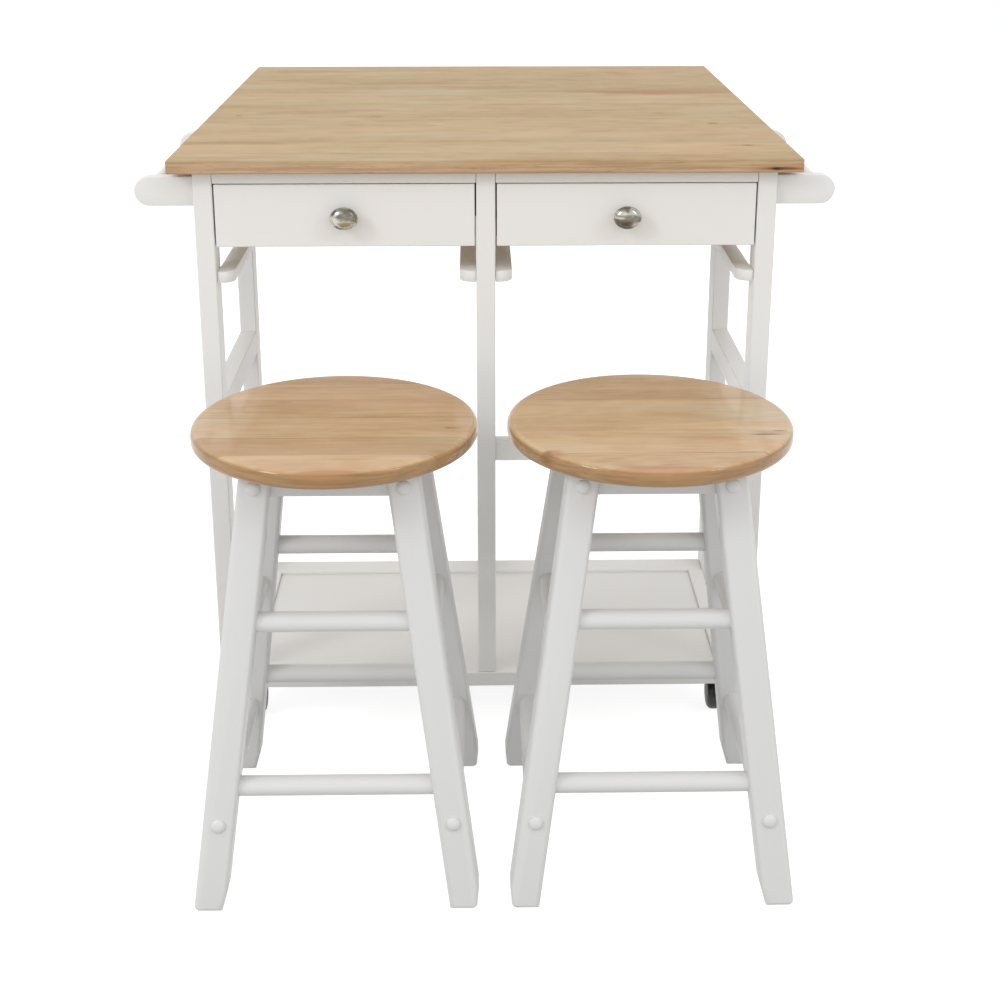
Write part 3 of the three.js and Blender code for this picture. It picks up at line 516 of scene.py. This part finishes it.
# Each seat: its boards, then its marks, from the seat's centre.
SEATS = {
    "left": (
        [
            (-0.171, 0.28),
            (-0.116, 0.84),
            (-0.062, 0.42),
            (0.006, 0.66),
            (0.070, 0.46),
            (0.130, 0.74),
            (0.171, 0.74),
        ],
        [
            ("crack", 0.135, -0.031, 0.005, 0.003, 0.95),
            ("brown", 0.140, -0.031, 0.012, 0.005, 0.60),
            ("crack", 0.046, 0.0062, 0.060, 0.0013, 0.65),
            ("red", 0.040, 0.008, 0.090, 0.004, 0.45),
            ("brown", -0.068, 0.062, 0.016, 0.006, 0.35),
            ("brown", -0.130, 0.040, 0.022, 0.010, 0.30),
            ("brown", 0.124, -0.108, 0.020, 0.010, 0.50),
            ("red", 0.010, -0.166, 0.060, 0.007, 0.55),
            ("brown", -0.150, -0.070, 0.010, 0.012, 0.35),
        ],
    ),
    "right": (
        [(-0.171, 0.36), (-0.115, 0.22), (-0.056, 0.38), (0.066, 0.60), (0.171, 0.60)],
        [
            ("crack", 0.131, -0.0580, 0.026, 0.0024, 0.98),
            ("crack", 0.147, -0.0465, 0.011, 0.0020, 0.85),
            ("red", 0.138, -0.051, 0.030, 0.009, 0.45),
            ("brown", 0.096, -0.113, 0.020, 0.003, 0.60),
            ("knot", -0.128, -0.112, 0.010, 0.012, 0.75),
            ("red", -0.120, -0.112, 0.018, 0.012, 0.55),
            ("red", -0.010, -0.160, 0.075, 0.010, 0.55),
            ("brown", 0.010, -0.150, 0.024, 0.0035, 0.50),
            ("brown", -0.060, 0.064, 0.060, 0.003, 0.45),
            ("red", 0.060, -0.066, 0.050, 0.012, 0.30),
        ],
    ),
}


def seat_wood(side, centre, top):
    boards, marks = SEATS[side]
    return glued_boards(
        "lacquered_seat_" + side,
        pale=tone(202, 172, 134),
        dark=tone(176, 141, 100),
        edge=tone(165, 124, 73),
        origin=(centre.x, centre.y),
        boards=boards,
        top=top,
        finish=LACQUER,
        marks=marks,
    )


# Paint and ply come in three, one for each axis that a board's grain can run along.
ISLAND_WHITE = (tone(234, 233, 231), tone(230, 229, 226))
# The stools take the island's white painted darker: painted shade on the stools.
SHADED_STOOL_WHITE = (tone(219, 219, 218), tone(215, 215, 213))
paint = [white_paint("white_paint", axis, *ISLAND_WHITE) for axis in range(3)]
shaded_stool_paint = [white_paint("shaded_stool_paint", axis, *SHADED_STOOL_WHITE) for axis in range(3)]
ply = [birch_ply(axis) for axis in range(3)]
# The nickel's near-black second colour serves its scratches and, in large patches, a painted
# reflection of a dark room.
brushed_nickel = metal(
    "brushed_nickel",
    colour=(0.66, 0.64, 0.58),
    worn=(0.085, 0.075, 0.05),
    roughness=0.26,
    scratches=(60, 900, 900),
    reflection_share=0.6,
)
zinc_plate = metal(
    "zinc_plate",
    colour=(0.66, 0.67, 0.68),
    worn=(0.52, 0.53, 0.54),
    roughness=0.34,
    scratches=(300, 300, 60),
)
black_hood = moulded_plastic("black_hood", (0.010, 0.010, 0.009), 0.26)
black_tread = moulded_plastic("black_tread", (0.016, 0.016, 0.015), 0.42)


# ------------------------------------------------------------------ mesh helpers
def moved(bm, matrix):
    bmesh.ops.transform(bm, matrix=matrix, verts=bm.verts)
    return bm


def in_mm(points):
    return [(u * MM, v * MM) for u, v in points]


def round_edges(bm, edges, ease, segments=3):
    bmesh.ops.bevel(
        bm,
        geom=edges,
        offset=ease,
        segments=segments,
        profile=0.5,
        affect="EDGES",
        material=-1,
    )


def sharp_edges(bm):
    return [e for e in bm.edges if e.calc_face_angle(0) > SHARP]


def block(low, high, ease=BOARD_EASE, segments=3):
    """A board between two corners, its edges rounded."""
    bm = bmesh.new()
    low, high = Vector(low), Vector(high)
    size = Matrix.Diagonal((*(high - low), 1))
    bmesh.ops.create_cube(bm, size=1.0, matrix=Matrix.Translation((low + high) / 2) @ size)
    if ease:
        round_edges(bm, bm.edges[:], ease, segments)
    return bm


def prism(outline, axis, start, end, ease=0.0, segments=2):
    """An outline in the plane across axis, extruded from start to end along it."""
    order = {"x": (2, 0, 1), "y": (0, 2, 1), "z": (0, 1, 2)}[axis]
    bm = bmesh.new()
    corners = [bm.verts.new([(u, v, start)[i] for i in order]) for u, v in outline]
    face = bm.faces.new(corners)
    grown = bmesh.ops.extrude_face_region(bm, geom=[face])["geom"]
    step = Vector([(0, 0, end - start)[i] for i in order])
    far = [v for v in grown if isinstance(v, bmesh.types.BMVert)]
    bmesh.ops.translate(bm, vec=step, verts=far)
    bmesh.ops.recalc_face_normals(bm, faces=bm.faces)
    if ease:
        round_edges(bm, sharp_edges(bm), ease, segments)
    return bm


def pointing(axis, centre):
    """The matrix that turns +Z to axis and moves the origin to centre."""
    turn = Vector(Z).rotation_difference(Vector(axis)).to_matrix().to_4x4()
    return Matrix.Translation(centre) @ turn


def turned(profile, axis=Z, centre=(0, 0, 0), steps=48, ring=False):
    """Spun about axis from (radius, height) pairs, which close on themselves if it is a ring."""
    bm = bmesh.new()
    rim = [bm.verts.new((radius, 0, height)) for radius, height in profile]
    pairs = list(zip(rim, rim[1:])) + ([(rim[-1], rim[0])] if ring else [])
    edges = [bm.edges.new(pair) for pair in pairs]
    bmesh.ops.spin(
        bm,
        geom=rim + edges,
        cent=(0, 0, 0),
        axis=Z,
        angle=math.tau,
        steps=steps,
        use_merge=True,
    )
    bmesh.ops.remove_doubles(bm, verts=bm.verts, dist=1e-6)
    bmesh.ops.recalc_face_normals(bm, faces=bm.faces)
    return moved(bm, pointing(axis, centre))


def bar(start, end, radius, steps=32, ease=0.0):
    """A round bar from start to end, its ends eased."""
    start, end = Vector(start), Vector(end)
    length = (end - start).length
    e = min(ease, radius * 0.5)
    profile = [(0, 0), (radius - e, 0), (radius, e), (radius, length - e)]
    profile += [(radius - e, length), (0, length)]
    return turned(profile, axis=end - start, centre=start, steps=steps)


def joined(parts):
    whole = bmesh.new()
    for part in parts:
        mesh = bpy.data.meshes.new("part")
        part.to_mesh(mesh)
        part.free()
        whole.from_mesh(mesh)
        bpy.data.meshes.remove(mesh)
    return whole


def arc(centre, radius, start, end, steps):
    """Points on an arc, its angles in degrees."""
    angles = [math.radians(start + (end - start) * i / steps) for i in range(steps + 1)]
    return [
        (centre[0] + radius * math.cos(a), centre[1] + radius * math.sin(a)) for a in angles
    ]


BODY = {
    node: body
    for body, nodes in frame["record"]["behaviour"]["bodies"].items()
    for node in nodes
}


def piece(name, bm, material, nodes, smooth=None):
    """Keeps a finished mesh as a piece that stands for CAD nodes and rides on their body.

    smooth is the angle in degrees from which an edge stays sharp. Without it all faces are flat.
    """
    if smooth:
        limit = math.radians(smooth)
        for face in bm.faces:
            face.smooth = True
        for edge in bm.edges:
            edge.smooth = edge.calc_face_angle(0) < limit
    mesh = bpy.data.meshes.new(name)
    bm.to_mesh(mesh)
    bm.free()
    obj = bpy.data.objects.new(name, mesh)
    bpy.context.collection.objects.link(obj)
    mesh.materials.append(material)
    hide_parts(*nodes)
    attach(obj, BODY[nodes[0]])


def painted_board(name, node, low, high, ease=BOARD_EASE):
    """A painted board, its grain along its longest side."""
    size = list(Vector(high) - Vector(low))
    grain = size.index(max(size))
    piece(name, block(low, high, ease), paint[grain], [node])


# ------------------------------------------------------------------ worktop and leaf
def make_tops():
    for node in ("fixed_top", "drop_leaf"):
        board = block(*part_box(node), ease=TOP_EASE, segments=4)
        piece(node + "_boards", board, oiled_worktop, [node])


# ------------------------------------------------------------------ butt hinges
def hinge(name, node, axis, across, normal):
    """Half a butt hinge: plate, knuckles and three countersunk screws.

    axis runs along its pin, across from the pin over the plate, and normal out of the plate.
    """
    low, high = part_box(node)
    axis, across, normal = Vector(axis), Vector(across), Vector(normal)
    half = abs((high - low).dot(axis)) / 2
    width = abs((high - low).dot(across)) - HINGE_BARREL
    pin = (low + high) / 2 - across * ((width + HINGE_BARREL) / 2 - HINGE_BARREL)
    turn = Matrix((axis, across, normal)).transposed().to_4x4()
    fixed = "fixed" in node
    third = half / 3
    knuckles = [(-third, third)]
    if fixed:
        knuckles = [(-half, -third - KNUCKLE_GAP), (third + KNUCKLE_GAP, half)]
    top, under = -HINGE_BARREL + HINGE_PLATE, -HINGE_BARREL
    plate_low, plate_high = (-half, HINGE_PLATE_START, under), (half, width, top)
    parts = [block(plate_low, plate_high, ease=0.35 * MM, segments=2)]
    for start, end in knuckles:
        parts.append(bar((start, 0, 0), (end, 0, 0), HINGE_BARREL, 24, 0.4 * MM))
        parts.append(block((start, 0, under), (end, HINGE_STRAP_END, top), ease=0.0))
    if fixed:
        for end in (-1, 1):
            parts.append(bar((end * half, 0, 0), (end * (half - MM), 0, 0), HINGE_PIN, 16))
    for place in HINGE_SCREWS:
        aside = HINGE_SCREW_STAGGER if place == 0 else -HINGE_SCREW_STAGGER
        where = (place * 2 * half, (width + 4 * MM) / 2 + aside, top)
        parts.append(turned(in_mm(HINGE_SCREW), centre=where, steps=20))
    whole = moved(joined(parts), Matrix.Translation(pin) @ turn)
    piece(name, whole, zinc_plate, [node], smooth=40)


def make_hinges():
    left, front, down = (-1, 0, 0), (0, -1, 0), (0, 0, -1)
    for spot in ("left", "centre", "right"):
        hinge(f"leaf_hinge_{spot}_fixed", f"leaf_hinge_fixed_{spot}", left, front, down)
        hinge(f"leaf_hinge_{spot}_moving", f"leaf_hinge_moving_{spot}", X, Y, down)
    for spot in ("lower", "upper"):
        hinge(f"gate_hinge_{spot}_fixed", f"gate_hinge_fixed_{spot}", Z, X, Y)
        hinge(f"gate_hinge_{spot}_moving", f"gate_hinge_moving_{spot}", Z, X, front)


# ------------------------------------------------------------------ island frame
def make_frame():
    for end in ENDS:
        for place in ("left", "centre", "right"):
            node = f"leg_{end}_{place}"
            painted_board(f"{node}_post", node, *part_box(node), ease=LEG_EASE)
    plain = ["rear_apron"]
    for side in SIDES:
        plain += [f"front_rail_{side}", f"side_stretcher_{side}"]
    for node in plain:
        painted_board(f"{node}_board", node, *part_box(node))


def make_aprons():
    """Side aprons and the divider, each with the strips that the drawers run on."""
    strip_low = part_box("drawer_box_left")[0].z + DRAWER_STRIP_LIFT
    strip_high = strip_low + DRAWER_STRIP
    divider = "drawer_divider"
    divider_low, divider_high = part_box(divider)
    for side, sign in SIDES.items():
        node = f"side_apron_{side}"
        low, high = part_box(node)
        outer, reach = (high.x, low.x) if sign > 0 else (low.x, high.x)
        inner = outer - sign * APRON_BOARD
        xs = sorted((outer, inner))
        board = block((xs[0], low.y, low.z), (xs[1], high.y, high.z))
        piece(f"{node}_board", board, paint[1], [node])
        xs = sorted((inner, reach))
        ends = (xs[0], low.y, strip_low), (xs[1], divider_high.y, strip_high)
        piece(f"{node}_strip", block(*ends, STRIP_EASE), ply[1], [node])
    half = APRON_BOARD / 2
    board = block((-half, divider_low.y, divider_low.z), (half, divider_high.y, divider_high.z))
    piece("divider_board", board, paint[1], [divider])
    for side, sign in SIDES.items():
        xs = sorted((sign * half, sign * divider_high.x))
        ends = (xs[0], divider_low.y, strip_low), (xs[1], divider_high.y, strip_high)
        piece(f"divider_strip_{side}", block(*ends, STRIP_EASE), ply[1], [divider])


def make_shelf():
    low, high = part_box("shelf_frame")
    front, rear = low.y + SHELF_END_RAIL, high.y - SHELF_END_RAIL
    side_front, side_rear = front + SHELF_JOINT_GAP, rear - SHELF_JOINT_GAP
    left, right = low.x + SHELF_SIDE_RAIL, high.x - SHELF_SIDE_RAIL
    rails = {
        "front": ((low.x, low.y, low.z), (high.x, front, high.z)),
        "rear": ((low.x, rear, low.z), (high.x, high.y, high.z)),
        "left": ((low.x, side_front, low.z), (left, side_rear, high.z)),
        "right": ((right, side_front, low.z), (high.x, side_rear, high.z)),
    }
    for place, corners in rails.items():
        painted_board(f"shelf_rail_{place}", "shelf_frame", *corners)
    painted_board("shelf_board", "shelf_panel", *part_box("shelf_panel"), ease=THIN_EASE)


def make_stool_runners():
    """Boards that a stored stool hangs on, their free corners rounded in plan."""
    for side, sign in SIDES.items():
        for place, free in (("inner", sign), ("outer", -sign)):
            node = f"stool_runner_{place}_{side}"
            low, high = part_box(node)
            bm = block(low, high, ease=0.0)
            free_x = high.x if free > 0 else low.x
            corners = [
                e
                for e in bm.edges
                if all(abs(v.co.x - free_x) < 1e-5 for v in e.verts)
                and abs(e.verts[0].co.z - e.verts[1].co.z) > 1e-4
            ]
            round_edges(bm, corners, RUNNER_CORNER, 10)
            round_edges(bm, sharp_edges(bm), THIN_EASE, 2)
            piece(f"{node}_board", bm, paint[1], [node], smooth=25)


def make_towel_rails():
    """On each side two brackets, square inside and half round outside, and the bar in them."""
    for side, sign in SIDES.items():
        node = f"towel_rail_{side}"
        low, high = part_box(node)
        radius = (high.z - low.z) / 2
        middle = (high.z + low.z) / 2
        outer, inner = (high.x, low.x) if sign > 0 else (low.x, high.x)
        centre = outer - sign * radius
        outline = [(inner, high.z), (inner, low.z)]
        outline += [(centre + sign * u, v) for u, v in arc((0, middle), radius, -90, 90, 20)]
        for place, start in (("front", low.y), ("rear", high.y - TOWEL_BRACKET)):
            bracket = prism(outline, "y", start, start + TOWEL_BRACKET, BRACKET_EASE, 3)
            name = f"towel_bracket_{place}_{side}"
            piece(name, bracket, paint[0], [node], smooth=25)
        start = (centre, low.y + TOWEL_BRACKET - TOWEL_BAR_TENON, middle)
        end = (centre, high.y - TOWEL_BRACKET + TOWEL_BAR_TENON, middle)
        rod = bar(start, end, TOWEL_BAR_RADIUS, 40)
        piece(f"towel_bar_{side}", rod, paint[1], [node], smooth=40)


# ------------------------------------------------------------------ drawers
def make_drawers():
    for side in SIDES:
        front = f"drawer_front_{side}"
        low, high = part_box(front)
        painted_board(f"{front}_board", front, low, high, ease=FRONT_EASE)
        make_knob(f"knob_{side}", low.y, high.y)
        make_drawer_box(f"drawer_box_{side}")
        base = f"drawer_bottom_{side}"
        panel = block(*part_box(base), BOTTOM_EASE, 1)
        piece(f"{base}_panel", panel, ply[0], [base])


def make_knob(knob, outside, inside):
    """An oval knob on the drawer front's outside, with a stud through it to a screw's head."""
    low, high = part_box(knob)
    middle = (low + high) / 2
    squeeze = (high.z - low.z) / (high.x - low.x)
    profile = in_mm(KNOB_FOOT + KNOB_NECK + KNOB_BEAD + KNOB_DOME)
    head = turned(profile, axis=(0, -1, 0), steps=64)
    oval = Matrix.Diagonal((1, 1, squeeze, 1))
    head = moved(head, Matrix.Translation((middle.x, outside, middle.z)) @ oval)
    end = (middle.x, inside + KNOB_SCREW_GAP, middle.z)
    screw = turned(in_mm(KNOB_SCREW), axis=Y, centre=end, steps=24)
    stud = bar((middle.x, outside - MM, middle.z), end, KNOB_STUD_RADIUS, 16)
    whole = joined([head, screw, stud])
    piece(f"{knob}_turned", whole, brushed_nickel, [knob], smooth=35)


def make_drawer_box(node):
    """Two sides, each with a groove for its strip, and the back between them."""
    low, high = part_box(node)
    groove_low = low.z + DRAWER_GROOVE_LIFT
    groove_high = groove_low + DRAWER_STRIP + MM
    for place, outer, inward in (("west", low.x, 1), ("east", high.x, -1)):
        inner, deep = outer + inward * DRAWER_SIDE, outer + inward * DRAWER_GROOVE
        outline = [
            (outer, low.z),
            (inner, low.z),
            (inner, high.z),
            (outer, high.z),
            (outer, groove_high),
            (deep, groove_high),
            (deep, groove_low),
            (outer, groove_low),
        ]
        board = prism(outline, "y", low.y, high.y, DRAWER_SIDE_EASE, 1)
        piece(f"{node}_{place}_side", board, ply[1], [node])
    front, rear = (high.y - face for face in DRAWER_BACK_FACES)
    back_low = (low.x + DRAWER_SIDE + JOINT_GAP, front, low.z + DRAWER_BACK_LIFT)
    back_high = (high.x - DRAWER_SIDE - JOINT_GAP, rear, high.z - MM)
    back = block(back_low, back_high, STRIP_EASE)
    piece(f"{node}_back", back, ply[0], [node])


# ------------------------------------------------------------------ gate
def make_gate():
    """A stile at the hinges, a leg over the caster, and two rails between them."""
    node = "gate_frame"
    low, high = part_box(node)
    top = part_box("leaf_hinge_fixed_centre")[0].z - GATE_TOP_DROP
    stile_low = (low.x, low.y, GATE_LOWER_RAIL - GATE_STILE_DROP)
    painted_board("gate_stile", node, stile_low, (low.x + GATE_POST, high.y, top), LEG_EASE)
    painted_board("gate_leg", node, (high.x - GATE_POST, low.y, low.z), high, LEG_EASE)
    for place, z in (("upper", top - GATE_RAIL), ("lower", GATE_LOWER_RAIL)):
        start = (low.x + GATE_POST + JOINT_GAP, low.y + MM, z)
        end = (high.x - GATE_POST - JOINT_GAP, high.y - MM, z + GATE_RAIL)
        painted_board(f"gate_rail_{place}", node, start, end)


# ------------------------------------------------------------------ casters
def caster_stand(hood, wheels):
    """The matrix from the caster's own frame, stem on z and axle towards +y, to the island."""
    low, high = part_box(hood)
    wheels_low, wheels_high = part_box(wheels)
    axle_y = (wheels_low.y + wheels_high.y) / 2
    trail = 1 if abs(high.y - axle_y) < abs(axle_y - low.y) else -1
    stem = ((low.x + high.x) / 2, axle_y - trail * CASTER_TRAIL, 0)
    turn = Matrix.Rotation(0 if trail > 0 else math.pi, 4, "Z")
    return Matrix.Translation(stem) @ turn


def hood_shell(half_width, axle_z):
    """A domed cover over both wheels, cut off level below."""
    outer, inner = HOOD_RADIUS, HOOD_RADIUS - HOOD_WALL
    side = [(inner - 1.2 * MM, half_width - 1.2 * MM)]
    side += arc((outer - HOOD_SHOULDER, half_width - HOOD_SHOULDER), HOOD_SHOULDER, 90, 0, 6)
    full = side + [(r, -h) for r, h in reversed(side)]
    full += [(inner, -half_width + 4 * MM), (inner, half_width - 4 * MM)]
    shell = turned(full, axis=X, centre=(0, CASTER_TRAIL, axle_z), steps=56, ring=True)
    bmesh.ops.bisect_plane(
        shell,
        geom=shell.verts[:] + shell.edges[:] + shell.faces[:],
        plane_co=(0, 0, HOOD_LOWER_EDGE),
        plane_no=(0, 0, -1),
        clear_outer=True,
    )
    bmesh.ops.holes_fill(shell, edges=[e for e in shell.edges if e.is_boundary])
    return shell


def wheel_pair(radius, half_width):
    """Two wheels and their axle about the x axis: tread, dished outer face and hub."""
    w, r, i = half_width, radius, WHEEL_INNER_FACE
    bore = 3.1 * MM
    profile = [
        (0, i + 2 * MM),
        (bore, i + 2 * MM),
        (bore, i),
        (0.92 * r, i),
        (0.985 * r, i + 1.2 * MM),
        (r, i + 3 * MM),
        (r, w - 9 * MM),
        (0.985 * r, w - 6.4 * MM),
        (0.93 * r, w - 4 * MM),
        (0.86 * r, w - 2.4 * MM),
        (0.80 * r, w - 1.7 * MM),
        (0.78 * r, w - 2.1 * MM),
        (0.74 * r, w - 1.3 * MM),
        (0.50 * r, w - 0.5 * MM),
        (0.22 * r, w - 0.2 * MM),
        (0, w),
    ]
    parts = [bar((-w + 2 * MM, 0, 0), (w - 2 * MM, 0, 0), 3 * MM, 24)]
    parts += [turned(profile, axis=(side, 0, 0), steps=56) for side in (1, -1)]
    return joined(parts)


def lever_pivot():
    """The (y, z) of the brake lever's pin, behind and above the hood."""
    y = CASTER_TRAIL + LEVER_PIVOT_REACH * math.cos(LEVER_PIVOT_ANGLE)
    return (y, CASTER_AXLE + LEVER_PIVOT_REACH * math.sin(LEVER_PIVOT_ANGLE))


def lever_tab():
    """The arched foot tab, its ribs and its hub, about the pivot."""
    y, z = lever_pivot()

    def at_pivot(points):
        return [(y + u * MM, z + v * MM) for u, v in points]

    hub = arc((0, 0), 3.2, 25, 318, 14)
    outline = at_pivot(hub + LEVER_UNDER + LEVER_TIP + LEVER_OVER)
    parts = [prism(outline, "x", -LEVER_HALF_WIDTH, LEVER_HALF_WIDTH, 0.5 * MM, 2)]
    for a, h in LEVER_RIB_PLACES:
        rib = at_pivot([(a + u, h + v) for u, v in LEVER_RIB])
        parts.append(prism(rib, "x", -RIB_HALF_WIDTH, RIB_HALF_WIDTH))
    return joined(parts)


def make_caster(name):
    hood, wheels = f"caster_hood_{name}", f"caster_wheels_{name}"
    lever = f"brake_lever_{name}"
    braked = lever in frame["nodes"]
    stand = caster_stand(hood, wheels)
    low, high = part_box(wheels)
    radius = axle_z = (high.z - low.z) / 2
    half_width = (high.x - low.x) / 2
    web_half = WHEEL_INNER_FACE - MM

    parts = [
        hood_shell(half_width, axle_z),
        prism(in_mm(CASTER_WEB), "x", -web_half, web_half, 0.8 * MM, 2),
        turned(in_mm(CASTER_COLLAR + CASTER_STEM), steps=40),
    ]
    if braked:
        for x in EAR_PLACES:
            parts.append(prism(in_mm(BRAKE_EAR), "x", x, x + EAR_THICKNESS, 0.5 * MM))
        pin_ends = [(side * LEVER_PIN_REACH, *lever_pivot()) for side in (-1, 1)]
        parts.append(bar(*pin_ends, LEVER_PIN_RADIUS, 16))
    cover = moved(joined(parts), stand)
    piece(f"caster_cover_{name}", cover, black_hood, [hood], smooth=35)

    at_axle = Matrix.Translation((0, CASTER_TRAIL, axle_z))
    pair = moved(wheel_pair(radius, half_width), stand @ at_axle)
    piece(f"caster_treads_{name}", pair, black_tread, [wheels], smooth=35)

    if braked:
        tab = moved(lever_tab(), stand)
        piece(f"brake_tab_{name}", tab, black_hood, [lever], smooth=35)


# ------------------------------------------------------------------ stools
def stool_leg(side_x, side_y, chamfered, splay, height):
    """A leg with rounded edges, sheared inwards; its foot is chamfered on the chamfered x side."""
    outer = STOOL_FOOT_SPREAD / 2
    inner = outer - STOOL_LEG
    cut = FOOT_CHAMFER_WIDTH
    if side_x == chamfered:
        foot = [(inner, 0)]
        foot += arc((outer - cut - FOOT_CORNER, FOOT_CORNER), FOOT_CORNER, -90, 0, 6)
        foot += [(outer, FOOT_CHAMFER_HEIGHT)]
    else:
        foot = [(inner, FOOT_CHAMFER_HEIGHT), (inner + cut, 0)]
        foot += arc((outer - FOOT_CORNER, FOOT_CORNER), FOOT_CORNER, -90, 0, 6)
    bm = prism([*foot, (outer, height), (inner, height)], "y", inner, outer)
    ends = [e for e in bm.edges if abs(e.verts[0].co.y - e.verts[1].co.y) < 1e-6]
    round_edges(bm, ends, STOOL_LEG_EASE, 5)
    shear = Matrix.Identity(4)
    shear[0][2] = shear[1][2] = -splay
    mirror = Matrix.Diagonal((side_x, side_y, 1, 1))
    moved(bm, mirror @ shear)
    bmesh.ops.recalc_face_normals(bm, faces=bm.faces)
    return bm


def button_plug():
    """A domed cap on a screw head, facing +y from the xz plane."""
    r, dome_height = PLUG_RADIUS, PLUG_HEIGHT - PLUG_RIM
    angles = [math.radians(15 * i) for i in range(6)]
    dome = [(r * math.cos(a), PLUG_RIM + dome_height * math.sin(a)) for a in angles]
    profile = [(0, -MM), (0.96 * r, -MM), (r, 0.2 * MM)] + dome + [(0, PLUG_HEIGHT)]
    return turned(profile, axis=Y, steps=28)


def make_stool(side):
    base, seat = f"stool_base_{side}", f"stool_seat_{side}"
    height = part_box(base)[1].z
    seat_low, seat_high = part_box(seat)
    centre = (seat_low + seat_high) / 2
    origin = Matrix.Translation((centre.x, centre.y, 0))
    splay = (STOOL_FOOT_SPREAD - STOOL_TOP_SPREAD) / 2 / seat_low.z

    def outer(z):
        return STOOL_FOOT_SPREAD / 2 - splay * z

    def middle(z):
        return outer(z) - STOOL_LEG / 2

    def rung_end(z):
        return outer(z) - STOOL_LEG + RUNG_SOCKET

    def settle(bm, quarter=0):
        """Turns a part of the stool by quarters and moves it from the origin to its place."""
        return moved(bm, origin @ Matrix.Rotation(quarter * math.pi / 2, 4, "Z"))

    for place, x_sign in SIDES.items():
        for end, y_sign in ENDS.items():
            leg = settle(stool_leg(x_sign, y_sign, -SIDES[side], splay, height))
            name = f"stool_{side}_leg_{end}_{place}"
            piece(name, leg, shaded_stool_paint[2], [base], smooth=25)

    for place, sign in ENDS.items():
        for level, z in zip(("lower", "upper"), FRONT_RUNG_HEIGHTS):
            y = sign * middle(z)
            rung = settle(bar((-rung_end(z), y, z), (rung_end(z), y, z), RUNG_RADIUS, 40))
            name = f"stool_{side}_rung_{place}_{level}"
            piece(name, rung, shaded_stool_paint[0], [base], smooth=40)
    for place, sign in SIDES.items():
        for level, z in zip(("lower", "upper"), SIDE_RUNG_HEIGHTS):
            x = sign * middle(z)
            rung = settle(bar((x, -rung_end(z), z), (x, rung_end(z), z), RUNG_RADIUS, 40))
            name = f"stool_{side}_rung_{place}_{level}"
            piece(name, rung, shaded_stool_paint[1], [base], smooth=40)

    reach = rung_end(seat_low.z)
    mid = middle(seat_low.z - APRON_HEIGHT / 2)
    apron_low = (-reach, mid - APRON_THICKNESS / 2, seat_low.z - APRON_HEIGHT)
    apron_high = (reach, mid + APRON_THICKNESS / 2, height - APRON_TOP_GAP)
    for quarter, place in enumerate(("rear", "left", "front", "right")):
        board = settle(block(apron_low, apron_high), quarter)
        name = f"stool_{side}_apron_{place}"
        piece(name, board, shaded_stool_paint[quarter % 2], [base])

    tilt = Matrix.Rotation(math.atan(splay), 4, "X")
    plugs = []
    for z in (SIDE_RUNG_HEIGHTS[0], TOP_PLUG_HEIGHT):
        for end in (-1, 1):
            at_leg = Matrix.Translation((end * middle(z), outer(z), z))
            plugs += [settle(moved(button_plug(), at_leg @ tilt), quarter) for quarter in (0, 2)]
    name = f"stool_{side}_plugs"
    piece(name, joined(plugs), shaded_stool_paint[2], [base], smooth=45)

    e = SEAT_EDGE
    radius = (seat_high.x - seat_low.x) / 2
    profile = [(0, seat_low.z)]
    profile += arc((radius - e, seat_low.z + e), e, -90, 0, 8)
    profile += arc((radius - e, seat_high.z - e), e, 0, 90, 10) + [(0, seat_high.z)]
    disc = turned(profile, centre=(centre.x, centre.y, 0), steps=128)
    wood = seat_wood(side, centre, seat_high.z)
    piece(f"{seat}_disc", disc, wood, [seat], smooth=30)


# ------------------------------------------------------------------ studio
def make_floor():
    bm = bmesh.new()
    bmesh.ops.create_grid(bm, x_segments=1, y_segments=1, size=9.0)
    mesh = bpy.data.meshes.new("studio_floor")
    bm.to_mesh(mesh)
    bm.free()
    floor = bpy.data.objects.new("studio_floor", mesh)
    bpy.context.collection.objects.link(floor)
    f = Finish("pale_floor")
    f.surface(Base_Color=(FLOOR_SHADE, FLOOR_SHADE, FLOOR_SHADE, 1))
    f.surface(Roughness=0.9, Specular_IOR_Level=0.0)
    lift = f.math("MULTIPLY", f.seen(), FLOOR_LIFT)
    f.surface(Emission_Color=(1, 1, 1, 1), Emission_Strength=lift)
    mesh.materials.append(f.material)


def make_sky():
    """White all round. It lights the pieces a little more strongly than it looks."""
    world = bpy.data.worlds.new("studio")
    bpy.context.scene.world = world
    world.use_nodes = True
    sky = Nodes(world.node_tree)
    levels = {"Value": sky.seen(), "To Min": SKY_LIGHT, "To Max": 1.0}
    background = sky.tree.nodes["Background"].inputs
    strength = sky.add("ShaderNodeMapRange", levels).outputs["Result"]
    sky.feed(background["Strength"], strength)
    sky.feed(background["Color"], (1, 1, 1, 1))


def make_lamps():
    for name, place, size, power in LAMPS:
        lamp = bpy.data.lights.new(name, "AREA")
        lamp.shape, lamp.size, lamp.energy = "SQUARE", size, power
        obj = bpy.data.objects.new(name, lamp)
        obj.location = place
        aim = LAMP_AIM - Vector(place)
        obj.rotation_euler = aim.to_track_quat("-Z", "Y").to_euler()
        bpy.context.collection.objects.link(obj)


def make_camera():
    data = bpy.data.cameras.new("photograph")
    data.sensor_width = 36
    data.lens = 56.515
    data.shift_y = -0.15
    camera = bpy.data.objects.new("photograph", data)
    camera.location = (-0.0142, -2.2479, 1.2060)
    camera.rotation_euler = (math.radians(72.385), 0, math.radians(-0.935))
    bpy.context.collection.objects.link(camera)
    bpy.context.scene.camera = camera


make_tops()
make_hinges()
make_frame()
make_aprons()
make_shelf()
make_stool_runners()
make_towel_rails()
make_drawers()
make_gate()
for name in ("front_left", "front_right", "rear_left", "rear_right", "gate"):
    make_caster(name)
for side in SIDES:
    make_stool(side)
make_floor()
make_sky()
make_lamps()
make_camera()
bpy.context.scene.view_settings.view_transform = "Standard"
